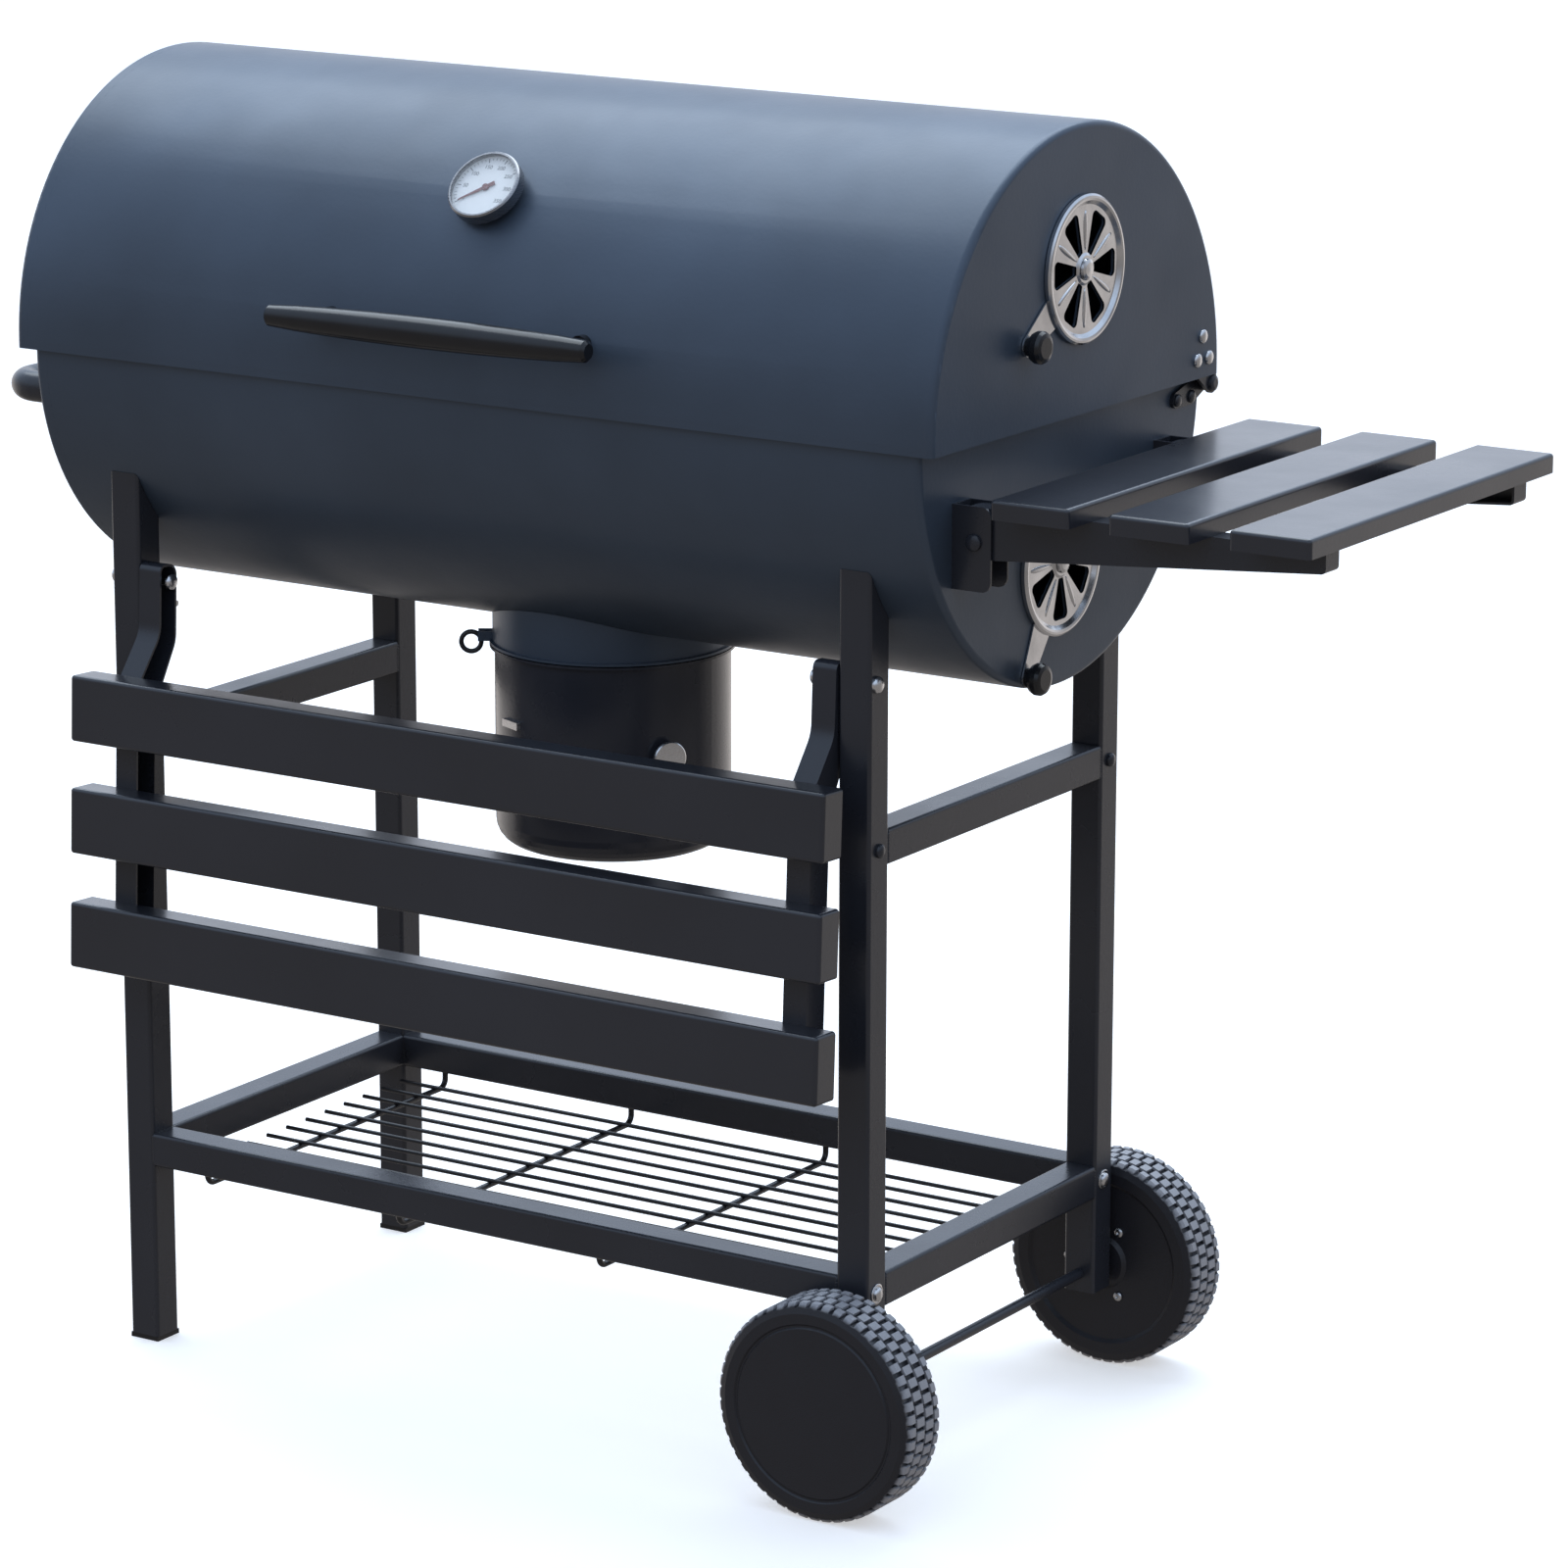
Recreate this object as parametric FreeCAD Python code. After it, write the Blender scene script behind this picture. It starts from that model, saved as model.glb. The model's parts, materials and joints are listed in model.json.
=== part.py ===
import FreeCAD, Part
import math
import os

V = FreeCAD.Vector

# A barrel charcoal grill, in millimetres, +Z up and +X along the barrel towards the side table.
# While the pieces are made, X = 0 and Y = 0 are the middle of the barrel and Z = 0 is the ground.

# ---- barrel -------------------------------------------------------------------------------
SHEET = 1.5
CORNER = 5.0              # outside corner radius of the pressed end caps
CAP_DEPTH = 12.0          # how far an end cap's flange reaches along the barrel

LID_R = 215.0
LID_HALF = 430.0
LID_AXIS_Z = 836.0
LID_EDGE_Z = 829.0

BODY_R = 210.0
BODY_HALF = 416.0
BODY_AXIS_Z = 828.0
BODY_RIM_Z = 836.0
ASH_HOLE_R = 86.0

# ---- stand --------------------------------------------------------------------------------
TUBE = 28.0
TUBE_CORNER = 3.0
WALL = 1.5
PLUG_GAP = 0.6            # round a piece that sits inside a leg's tube
LEG_OUT_X = 360.5
LEG_OUT_Y = 187.0
LEG_IN_X = LEG_OUT_X - TUBE
LEG_IN_Y = LEG_OUT_Y - TUBE
LEG_MID_X = LEG_OUT_X - TUBE / 2
LEG_MID_Y = LEG_OUT_Y - TUBE / 2
LEG_GAP = 0.3             # between a leg's coped top and the barrel
FOOT_H = 4.0
LOW_RAIL_TOP = 180.0
HIGH_RAIL_TOP = 530.0

# ---- wheels -------------------------------------------------------------------------------
WHEEL_R = 87.0
WHEEL_IN_Y = 194.0
WHEEL_OUT_Y = 244.0
AXLE_R = 4.5
RUNNING = 0.05            # radial clearance of a turning fit
TREAD_DEPTH = 3.5
TREAD_BLOCKS = 52
TREAD_ROWS = 4
HUB_R = 20.0

# ---- lid hinge ----------------------------------------------------------------------------
HINGE_Y = 207.0
HINGE_Z = 822.0
HINGE_PIN_R = 4.0
HINGE_PLATE = 3.0
LID_HINGE_BOLTS = ((187.0, 862.0), (197.0, 844.0), (179.0, 844.0))
BODY_HINGE_BOLTS = ((190.0, 813.0), (168.0, 813.0))

# ---- lid handle and thermometer -----------------------------------------------------------
GRIP_Y = -248.0
GRIP_Z = 886.0
GRIP_HALF = 150.0
GRIP_R = 12.5
GRIP_END_R = 8.5
POST_X = 118.0
POST_Z = 882.0
DIAL_ANGLE = 42.0         # of the dial's face above the horizontal
CASE_R = 30.5
CASE_BACK = 217.0         # distances from the lid's axis
DIAL_FACE = 225.8
GLASS_BACK = 228.8
CASE_FRONT = 231.0
STEM_TIP = 150.0

# ---- vent dampers -------------------------------------------------------------------------
DAMPER_R = 57.0
DAMPER_GAP = 0.6
DAMPER_PIN_R = 4.5
SLOT_COUNT = 6
SLOT_IN_R = 13.0
SLOT_OUT_R = 46.5
SLOT_DEG = 30.0
LEVER_R = 94.0
LID_VENT = (0.0, 940.0)   # y and z of each vent's middle
BODY_VENT = (-6.0, 715.0)
LID_LEVER_DEG = 210.0
BODY_LEVER_DEG = 240.0

# ---- front shelf, hanging down ------------------------------------------------------------
SHELF_PIVOT_Y = -178.0
SHELF_PIVOT_Z = 645.0
SHELF_TILT = 2.65         # degrees that the hanging shelf stands out at its foot
SHELF_HALF = 358.0
SHELF_SLAT_H = 54.0
SHELF_SLAT_T = 26.0
SLAT_CORNER = 3.0
SLAT_SEAM = 1.5           # the narrow gap along a slat's back where its sheet meets
SHELF_FACE = 65.0         # from the pivot forwards to the slats' faces
SHELF_DROPS = (100.0, 192.0, 286.0)
SHELF_ARM_IN = 310.5
SHELF_ARM_OUT = 331.5

# ---- side table, raised -------------------------------------------------------------------
TABLE_PIVOT_X = 435.0
TABLE_PIVOT_Z = 759.0
TABLE_TOP = 800.0
TABLE_SLAT_T = 15.0
TABLE_SLAT_W = 66.0
TABLE_SLAT_X = (467.5, 566.5, 665.5)
TABLE_HALF = 195.0
TABLE_ARM_IN = 140.0
TABLE_ARM_OUT = 160.0
TABLE_ARM_END = 725.5
TABLE_ROOT_R = 15.0
BRACKET_Y = (137.0, 163.0)
BRACKET_X = (BODY_HALF, 449.5)
BRACKET_Z = (722.0, 786.0)

# ---- ash catcher --------------------------------------------------------------------------
COLLAR_R = 96.5
COLLAR_Z = 602.0
BUCKET_R = 95.0
BUCKET_LIP_R = 99.0
BUCKET_TOP = 601.0
BUCKET_BOTTOM = 438.0
BUCKET_CORNER = 20.0
BUCKET_SHEET = 1.2
BUCKET_SEAM_DEG = 45.0    # up the rounded foot, where the base meets the wall
CLIP_DEG = -57.0          # measured from the front, positive towards the side table
CLIP_PIN_R = 104.0
CLIP_PIN_Z = 606.0
KNOB_DEG = 60.0
KNOB_Z = 526.0
KEEPER_DEG = -23.0
KEEPER_Z = 545.0

# ---- grates and wire shelf ----------------------------------------------------------------
COOK_LEDGE_TOP = 799.0
COAL_LEDGE_TOP = 697.0
GRATE_ROD = 3.0
GRATE_BAR = 2.2
LOOSE = 0.3               # a lift-out grate stands this far above its ledge
SHELF_WIRE_Z = 142.0
CROSS_WIRE_X = (-293.0, -98.0, 98.0, 293.0)

# ---- carrying handle ----------------------------------------------------------------------
CARRY_R = 12.5
CARRY_BEND = 22.5
CARRY_X = -459.0
CARRY_Y = 183.5
CARRY_Z = 792.0


# ---- shape helpers ------------------------------------------------------------------------
def box(x0, x1, y0, y1, z0, z1):
    return Part.makeBox(x1 - x0, y1 - y0, z1 - z0, V(x0, y0, z0))


def rod(start, end, radius):
    return Part.makeCylinder(radius, (end - start).Length, start, end - start)


def join(shapes):
    shapes = list(shapes)
    if len(shapes) == 1:
        return shapes[0]
    return shapes[0].multiFuse(shapes[1:]).removeSplitter()


def mirror_x(shape):
    return shape.mirror(V(0, 0, 0), V(1, 0, 0))


def mirror_y(shape):
    return shape.mirror(V(0, 0, 0), V(0, 1, 0))


def polygon(points):
    return Part.Face(Part.makePolygon([*points, points[0]]))


def rounded_outline(points, radii):
    """A flat face through the points, each corner rounded to its radius (0 leaves it sharp)."""
    count = len(points)
    edges = []
    ends = []
    for i, (corner, radius) in enumerate(zip(points, radii)):
        back = (points[i - 1] - corner).normalize()
        ahead = (points[(i + 1) % count] - corner).normalize()
        half = back.getAngle(ahead) / 2
        reach = radius / math.tan(half) if radius else 0.0
        first = corner + back * reach
        last = corner + ahead * reach
        if radius:
            inward = (back + ahead).normalize()
            middle = corner + inward * (radius / math.sin(half) - radius)
            edges.append((first, middle, last))
        ends.append((first, last))
    wire = []
    arcs = iter(edges)
    for i, (first, last) in enumerate(ends):
        if radii[i]:
            wire.append(Part.Arc(*next(arcs)).toShape())
        following = ends[(i + 1) % count][0]
        if (following - last).Length > 1e-6:
            wire.append(Part.makeLine(last, following))
    return Part.Face(Part.Wire(wire))


def half_turn(face, axis_z, edge_z):
    """Half a turn of a face about the barrel's axis, carried on straight from axis_z to edge_z."""
    upward = edge_z < axis_z
    turn = face.revolve(V(0, 0, axis_z), V(1, 0, 0), 180 if upward else -180)
    skirt = face.extrude(V(0, 0, edge_z - axis_z))
    return join([turn, skirt, mirror_y(skirt)])


def trough(half_length, radius, axis_z, edge_z):
    inner = radius - SHEET
    face = polygon([V(-half_length, inner, axis_z), V(half_length, inner, axis_z),
                    V(half_length, radius, axis_z), V(-half_length, radius, axis_z)])
    return half_turn(face, axis_z, edge_z)


def end_cap(face_x, radius, axis_z, edge_z):
    """A pressed cap at +X: a flat half disc with a rounded corner and a flange along the barrel."""
    inside = face_x - SHEET
    flange = face_x - CAP_DEPTH
    bend = math.sqrt(0.5)
    inner_r = CORNER - SHEET
    centre = V(face_x - CORNER, radius - CORNER, axis_z)

    def at(x, r):
        return V(x, r, axis_z)

    edges = [
        Part.makeLine(at(face_x, 0), at(face_x, radius - CORNER)),
        Part.Arc(at(face_x, radius - CORNER), centre + V(bend, bend, 0) * CORNER,
                 at(face_x - CORNER, radius)).toShape(),
        Part.makeLine(at(face_x - CORNER, radius), at(flange, radius)),
        Part.makeLine(at(flange, radius), at(flange, radius - SHEET)),
        Part.makeLine(at(flange, radius - SHEET), at(face_x - CORNER, radius - SHEET)),
        Part.Arc(at(face_x - CORNER, radius - SHEET), centre + V(bend, bend, 0) * inner_r,
                 at(inside, radius - CORNER)).toShape(),
        Part.makeLine(at(inside, radius - CORNER), at(inside, 0)),
        Part.makeLine(at(inside, 0), at(face_x, 0)),
    ]
    return half_turn(Part.Face(Part.Wire(edges)), axis_z, edge_z)


def turned(profile, base, axis):
    """A solid of revolution: profile is (distance along the axis, radius), starting at base."""
    axis = V(axis).normalize()
    side = V(1, 0, 0) if abs(axis.x) < 0.9 else V(0, 1, 0)
    side = (side - axis * side.dot(axis)).normalize()
    face = polygon([base + axis * along + side * radius for along, radius in profile])
    return face.revolve(base, axis, 360)


def dome(base, axis, radius, height):
    """A screw's domed head standing on base."""
    steps = 6
    profile = [(0.0, 0.0), (0.0, radius)]
    for i in range(steps + 1):
        angle = math.radians(90 * i / steps)
        profile.append((height * (0.35 + 0.65 * math.sin(angle)), radius * math.cos(angle)))
    return turned(profile, base, axis)


def plate_through(circles, thickness, x0):
    """A flat plate normal to X that wraps circles given as (y, z, radius)."""
    pieces = []
    for y, z, radius in circles:
        pieces.append(Part.makeCylinder(radius, thickness, V(x0, y, z), V(1, 0, 0)))
    for i, (y0, z0, r0) in enumerate(circles):
        for y1, z1, r1 in circles[i + 1:]:
            along = V(0, y1 - y0, z1 - z0)
            across = V(0, -along.z, along.y).normalize()
            a = V(x0, y0, z0)
            b = V(x0, y1, z1)
            web = polygon([a + across * r0, b + across * r1, b - across * r1, a - across * r0])
            pieces.append(web.extrude(V(thickness, 0, 0)))
    return join(pieces)


def polar(degrees, radius, z):
    """A point about the ash catcher's axis, with 0 degrees at the front."""
    angle = math.radians(degrees)
    return V(radius * math.sin(angle), -radius * math.cos(angle), z)


# ---- barrel -------------------------------------------------------------------------------
def vent_slots(centre, lever_deg, x0, x1):
    """Petal-shaped cutters round a vent's middle, with the lever halfway between two of them."""
    slots = []
    y, z = centre
    for i in range(SLOT_COUNT):
        middle = lever_deg + 360 * (i + 0.5) / SLOT_COUNT

        def at(radius, degrees):
            angle = math.radians(degrees)
            return V(x0, y + radius * math.cos(angle), z + radius * math.sin(angle))

        low = middle - SLOT_DEG / 2
        high = middle + SLOT_DEG / 2
        corners = [at(SLOT_IN_R, low), at(SLOT_OUT_R, low), at(SLOT_OUT_R, high), at(SLOT_IN_R, high)]
        slots.append(rounded_outline(corners, [1.2, 4.5, 4.5, 1.2]).extrude(V(x1 - x0, 0, 0)))
    return slots


def vented_cap(cap, centre, lever_deg, face_x):
    y, z = centre
    cutters = vent_slots(centre, lever_deg, face_x - 2 * SHEET, face_x + SHEET)
    cutters.append(rod(V(face_x - 5, y, z), V(face_x + 5, y, z), DAMPER_PIN_R))
    return cap.cut(cutters)


def lid_pieces():
    shell = trough(LID_HALF - CAP_DEPTH, LID_R, LID_AXIS_Z, LID_EDGE_Z)
    stem_hole = rod(dial_point(STEM_TIP), dial_point(CASE_FRONT), 4.5)
    post_screws = [rod(V(x, GRIP_Y, POST_Z), V(x, -150, POST_Z), 2.6) for x in (-POST_X, POST_X)]
    shell = shell.cut([stem_hole, *post_screws])
    cap = end_cap(LID_HALF, LID_R, LID_AXIS_Z, LID_EDGE_Z)
    holes = [rod(V(LID_HALF - 4, y, z), V(LID_HALF + 4, y, z), 3.0) for y, z in LID_HINGE_BOLTS]
    cap = cap.cut(holes)
    return {
        "lid_shell": shell,
        "lid_end_cap_left": mirror_x(cap),
        "lid_end_cap_right": vented_cap(cap, LID_VENT, LID_LEVER_DEG, LID_HALF),
    }


def body_pieces():
    shell = trough(BODY_HALF - CAP_DEPTH, BODY_R, BODY_AXIS_Z, BODY_RIM_Z)
    shell = shell.cut(rod(V(0, 0, BODY_AXIS_Z - BODY_R - 5), V(0, 0, BODY_AXIS_Z - 150), ASH_HOLE_R))
    cap = end_cap(BODY_HALF, BODY_R, BODY_AXIS_Z, BODY_RIM_Z)
    return {
        "body_shell": shell,
        "body_end_cap_left": mirror_x(cap),
        "body_end_cap_right": vented_cap(cap, BODY_VENT, BODY_LEVER_DEG, BODY_HALF),
    }


def damper(centre, face_x, lever_deg):
    """A turning vent disc with a beaded rim and a lever, its moulded knob and its fixed pin."""
    y, z = centre
    base = V(face_x, y, z)
    axis = V(1, 0, 0)
    sheet = 1.2
    front = DAMPER_GAP + sheet
    bore = DAMPER_PIN_R + RUNNING
    profile = [(DAMPER_GAP, bore), (DAMPER_GAP, DAMPER_R), (3.4, DAMPER_R), (4.6, DAMPER_R - 1.6),
               (4.8, DAMPER_R - 3.2), (4.4, DAMPER_R - 5.0), (front, DAMPER_R - 8.0), (front, 12.5),
               (3.0, 10.5), (3.0, bore)]
    disc = turned(profile, base, axis)
    disc = disc.cut(vent_slots(centre, lever_deg, face_x, face_x + 10))
    angle = math.radians(lever_deg)
    out = V(0, math.cos(angle), math.sin(angle))
    across = V(0, -out.z, out.y)
    start = base + V(DAMPER_GAP, 0, 0) + out * (DAMPER_R - 4)
    end = base + V(DAMPER_GAP, 0, 0) + out * LEVER_R
    tab = polygon([start + across * 13, end + across * 8, end - across * 8, start - across * 13])
    tab = tab.extrude(V(sheet, 0, 0))
    tip = Part.makeCylinder(8, sheet, end, axis)
    disc = join([disc, tab, tip])
    grip = base + out * LEVER_R
    knob_profile = [(front, 0), (front, 7.5), (front + 3, 7.5), (front + 5, 11.0), (front + 8, 12.5),
                    (front + 12, 12.5), (front + 14.5, 11.0), (front + 15.5, 8.0), (front + 15.5, 0)]
    knob = turned(knob_profile, grip, axis)
    pin_profile = [(-4.0, 0), (-4.0, 7.0), (-SHEET, 7.0), (-SHEET, DAMPER_PIN_R),
                   (3.3, DAMPER_PIN_R), (3.3, 8.5), (5.2, 8.0), (6.2, 5.5), (6.6, 0)]
    pin = turned(pin_profile, base, axis)
    return disc, knob, pin


# ---- lid furniture ------------------------------------------------------------------------
def dial_axis():
    angle = math.radians(DIAL_ANGLE)
    return V(0, -math.cos(angle), math.sin(angle))


def dial_point(distance):
    return V(0, 0, LID_AXIS_Z) + dial_axis() * distance


def thermometer():
    axis = dial_axis()
    origin = V(0, 0, LID_AXIS_Z)
    wall = 1.3
    inner = CASE_R - wall
    lip = inner - 1.2
    shaft = 1.5
    case = turned([(CASE_BACK, 4.6), (CASE_BACK, CASE_R - 5), (CASE_BACK + 4, CASE_R),
                   (CASE_FRONT - 1.2, CASE_R), (CASE_FRONT, CASE_R - 1.2), (CASE_FRONT, lip),
                   (GLASS_BACK + 1.5, lip), (GLASS_BACK + 1.5, inner), (CASE_BACK + 4.5, inner),
                   (CASE_BACK + 1.4, CASE_R - 6), (CASE_BACK + 1.4, 4.6)], origin, axis)
    dial = turned([(DIAL_FACE - 0.8, shaft + RUNNING), (DIAL_FACE - 0.8, inner - 0.05),
                   (DIAL_FACE, inner - 0.05), (DIAL_FACE, shaft + RUNNING)], origin, axis)
    glass = turned([(GLASS_BACK, 0), (GLASS_BACK, inner - 0.05), (GLASS_BACK + 1.45, inner - 0.05),
                    (GLASS_BACK + 1.45, 0)], origin, axis)
    up = V(0, math.sin(math.radians(DIAL_ANGLE)), math.cos(math.radians(DIAL_ANGLE)))
    sweep = FreeCAD.Rotation(axis, 125)
    pointer_way = sweep.multVec(up)
    side = axis.cross(pointer_way)
    foot = origin + axis * (DIAL_FACE + 0.7)
    pointer = polygon([foot - pointer_way * 8 + side * 1.8, foot + pointer_way * 24 + side * 0.4,
                       foot + pointer_way * 24 - side * 0.4, foot - pointer_way * 8 - side * 1.8])
    pointer = pointer.extrude(axis * 0.6)
    hub = turned([(DIAL_FACE - 2.5, 0), (DIAL_FACE - 2.5, shaft), (DIAL_FACE + 0.4, shaft),
                  (DIAL_FACE + 0.4, 3.2), (DIAL_FACE + 1.9, 2.6), (DIAL_FACE + 1.9, 0)], origin, axis)
    stem = turned([(STEM_TIP, 0), (STEM_TIP + 4, 3.0), (CASE_BACK - 9, 3.0), (CASE_BACK - 9, 9.0),
                   (LID_R - SHEET - 1.0, 9.0), (LID_R - SHEET - 1.0, 4.2), (LID_R + 0.6, 4.2),
                   (LID_R + 0.6, 9.5), (CASE_BACK, 9.5), (CASE_BACK, 4.4), (CASE_BACK + 3.0, 4.4),
                   (CASE_BACK + 3.0, 0)], origin, axis)
    return {
        "thermometer_case": case,
        "thermometer_dial": dial,
        "thermometer_glass": glass,
        "thermometer_stem": stem,
        "thermometer_needle": join([pointer, hub]),
    }


def lid_handle():
    """A spindle-shaped grip along X on two short posts."""
    steps = 12
    profile = [(-GRIP_HALF, 0.0), (-GRIP_HALF, GRIP_END_R - 2.5), (-GRIP_HALF + 2.5, GRIP_END_R)]
    for i in range(1, steps):
        along = -1 + 2 * i / steps
        swell = math.cos(along * math.pi / 2) ** 0.7
        profile.append((along * (GRIP_HALF - 2.5), GRIP_END_R + (GRIP_R - GRIP_END_R) * swell))
    profile += [(GRIP_HALF - 2.5, GRIP_END_R), (GRIP_HALF, GRIP_END_R - 2.5), (GRIP_HALF, 0.0)]
    grip = turned(profile, V(0, GRIP_Y, GRIP_Z), V(1, 0, 0))
    skin = rod(V(-LID_HALF, 0, LID_AXIS_Z), V(LID_HALF, 0, LID_AXIS_Z), LID_R + 0.1)
    posts = []
    for x in (-POST_X, POST_X):
        stalk = rod(V(x, GRIP_Y, POST_Z), V(x, -190, POST_Z), 6.5)
        foot = rod(V(x, -215, POST_Z), V(x, -190, POST_Z), 8.5)
        posts.append(join([stalk, foot]).cut([skin, grip]))
    return {"lid_handle_grip": grip, "lid_handle_posts": Part.makeCompound(posts)}


def lid_hinge_plates():
    circles = [(HINGE_Y, HINGE_Z, 8.0)] + [(y, z, 9.0) for y, z in LID_HINGE_BOLTS]
    plate = plate_through(circles, HINGE_PLATE, LID_HALF - SHEET - HINGE_PLATE)
    bore = rod(V(400, HINGE_Y, HINGE_Z), V(440, HINGE_Y, HINGE_Z), HINGE_PIN_R + RUNNING)
    screws = [rod(V(400, y, z), V(440, y, z), 3.0) for y, z in LID_HINGE_BOLTS]
    plate = plate.cut([bore, *screws, end_cap(LID_HALF, LID_R, LID_AXIS_Z, LID_EDGE_Z)])
    return Part.makeCompound([plate, mirror_x(plate)])


def body_hinge_plates():
    """The body's half of each hinge, with the heads of its two rivets."""
    circles = [(HINGE_Y, HINGE_Z, 8.0)] + [(y, z, 6.5) for y, z in BODY_HINGE_BOLTS]
    plate = plate_through(circles, HINGE_PLATE, BODY_HALF)
    face = BODY_HALF + HINGE_PLATE
    plate = join([plate] + [dome(V(face, y, z), V(1, 0, 0), 5.0, 3.0) for y, z in BODY_HINGE_BOLTS])
    plate = plate.cut(rod(V(400, HINGE_Y, HINGE_Z), V(440, HINGE_Y, HINGE_Z), HINGE_PIN_R))
    return Part.makeCompound([plate, mirror_x(plate)])


def hinge_pins():
    """Shouldered pins, fixed in the body's plates, that the lid's plates turn on."""
    lid_plate = LID_HALF - SHEET - HINGE_PLATE
    shoulder = BODY_HALF + HINGE_PLATE
    end = LID_HALF - SHEET + LOOSE
    profile = [(BODY_HALF, 0), (BODY_HALF, HINGE_PIN_R), (shoulder, HINGE_PIN_R), (shoulder, 6.5),
               (lid_plate - LOOSE, 6.5), (lid_plate - LOOSE, HINGE_PIN_R), (end, HINGE_PIN_R),
               (end, 6.5), (end + 2.0, 6.0), (end + 3.0, 3.5), (end + 3.0, 0)]
    pin = turned(profile, V(0, HINGE_Y, HINGE_Z), V(1, 0, 0))
    return Part.makeCompound([pin, mirror_x(pin)])


def lid_fasteners(vent_pin):
    """Hinge bolts in the lid's caps, the grip's screws and the vent's pin."""
    solids = [vent_pin]
    for y, z in LID_HINGE_BOLTS:
        face = V(LID_HALF, y, z)
        shank = rod(V(LID_HALF - SHEET - HINGE_PLATE - 2, y, z), face, 3.0)
        bolt = join([shank, dome(face, V(1, 0, 0), 5.5, 3.2)])
        solids += [bolt, mirror_x(bolt)]
    reach = math.sqrt((LID_R - SHEET) ** 2 - (POST_Z - LID_AXIS_Z) ** 2)
    for x in (-POST_X, POST_X):
        solids.append(dome(V(x, -reach + 3.0, POST_Z), V(0, 1, 0), 6.0, 3.5))
    return Part.makeCompound(solids)


# ---- stand --------------------------------------------------------------------------------
def square_tube(length_start, length_end, along, low_corner):
    """A square tube from length_start to length_end along X, Y or Z."""
    def bar(inset):
        low = {name: low_corner[name] + inset for name in low_corner}
        high = {name: low_corner[name] + TUBE - inset for name in low_corner}
        low[along] = length_start
        high[along] = length_end
        solid = box(low["x"], high["x"], low["y"], high["y"], low["z"], high["z"])
        return solid.makeFillet(TUBE_CORNER - inset, [e for e in solid.Edges if along_axis(e, along)])
    return bar(0).cut(bar(WALL))


def leg(x_sign, y_sign):
    x0 = LEG_IN_X if x_sign > 0 else -LEG_OUT_X
    y0 = LEG_IN_Y if y_sign > 0 else -LEG_OUT_Y
    foot_z = WHEEL_R - 15 if x_sign > 0 else FOOT_H
    tube = square_tube(foot_z, BODY_AXIS_Z - 80, "z", {"x": x0, "y": y0})
    cutters = [rod(V(-500, 0, BODY_AXIS_Z), V(500, 0, BODY_AXIS_Z), BODY_R + LEG_GAP)]
    if x_sign > 0:
        axle_start = V(LEG_MID_X, y_sign * (LEG_IN_Y - 5), WHEEL_R)
        cutters.append(rod(axle_start, axle_start + V(0, y_sign * 60, 0), AXLE_R))
    if y_sign < 0:
        bolt = V(x_sign * (LEG_IN_X - 5), SHELF_PIVOT_Y, SHELF_PIVOT_Z)
        cutters.append(rod(bolt, bolt + V(x_sign * 50, 0, 0), 4.0))
    return tube.cut(cutters)


def legs():
    return {
        "front_left_leg": leg(-1, -1),
        "rear_left_leg": leg(-1, 1),
        "front_right_leg": leg(1, -1),
        "rear_right_leg": leg(1, 1),
    }


def leg_feet():
    plugs = []
    for y in (-LEG_OUT_Y, LEG_IN_Y):
        x = -LEG_OUT_X
        cap = box(x, x + TUBE, y, y + TUBE, 0, FOOT_H)
        inset = WALL + PLUG_GAP
        plug = box(x + inset, x + TUBE - inset, y + inset, y + TUBE - inset, FOOT_H, 24)
        plugs.append(join([cap, plug]))
    return Part.makeCompound(plugs)


def rails():
    low = LOW_RAIL_TOP - TUBE
    high = HIGH_RAIL_TOP - TUBE
    return {
        "bottom_rail_front": square_tube(-LEG_IN_X, LEG_IN_X, "x", {"y": -LEG_OUT_Y, "z": low}),
        "bottom_rail_rear": square_tube(-LEG_IN_X, LEG_IN_X, "x", {"y": LEG_IN_Y, "z": low}),
        "bottom_rail_left": square_tube(-LEG_IN_Y, LEG_IN_Y, "y", {"x": -LEG_OUT_X, "z": low}),
        "bottom_rail_right": square_tube(-LEG_IN_Y, LEG_IN_Y, "y", {"x": LEG_IN_X, "z": low}),
        "upper_rail_left": square_tube(-LEG_IN_Y, LEG_IN_Y, "y", {"x": -LEG_OUT_X, "z": high}),
        "upper_rail_right": square_tube(-LEG_IN_Y, LEG_IN_Y, "y", {"x": LEG_IN_X, "z": high}),
    }


def leg_saddles():
    """Curved plates that close the legs' coped tops and take the barrel's bolts."""
    thick = 3.0
    inner = BODY_R + LEG_GAP
    reach = V(LEG_OUT_X, 0, BODY_AXIS_Z)
    band = rod(V(-LEG_OUT_X, 0, BODY_AXIS_Z), reach, inner + thick)
    band = band.cut(rod(V(-LEG_OUT_X, 0, BODY_AXIS_Z), reach, inner))
    inset = WALL + PLUG_GAP
    top = BODY_AXIS_Z - 80
    window = box(LEG_IN_X + inset, LEG_OUT_X - inset, -LEG_OUT_Y + inset, -LEG_IN_Y - inset, top - 80, top)
    saddle = band.common(window)
    pair = [saddle, mirror_y(saddle)]
    return Part.makeCompound(pair + [mirror_x(plate) for plate in pair])


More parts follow.
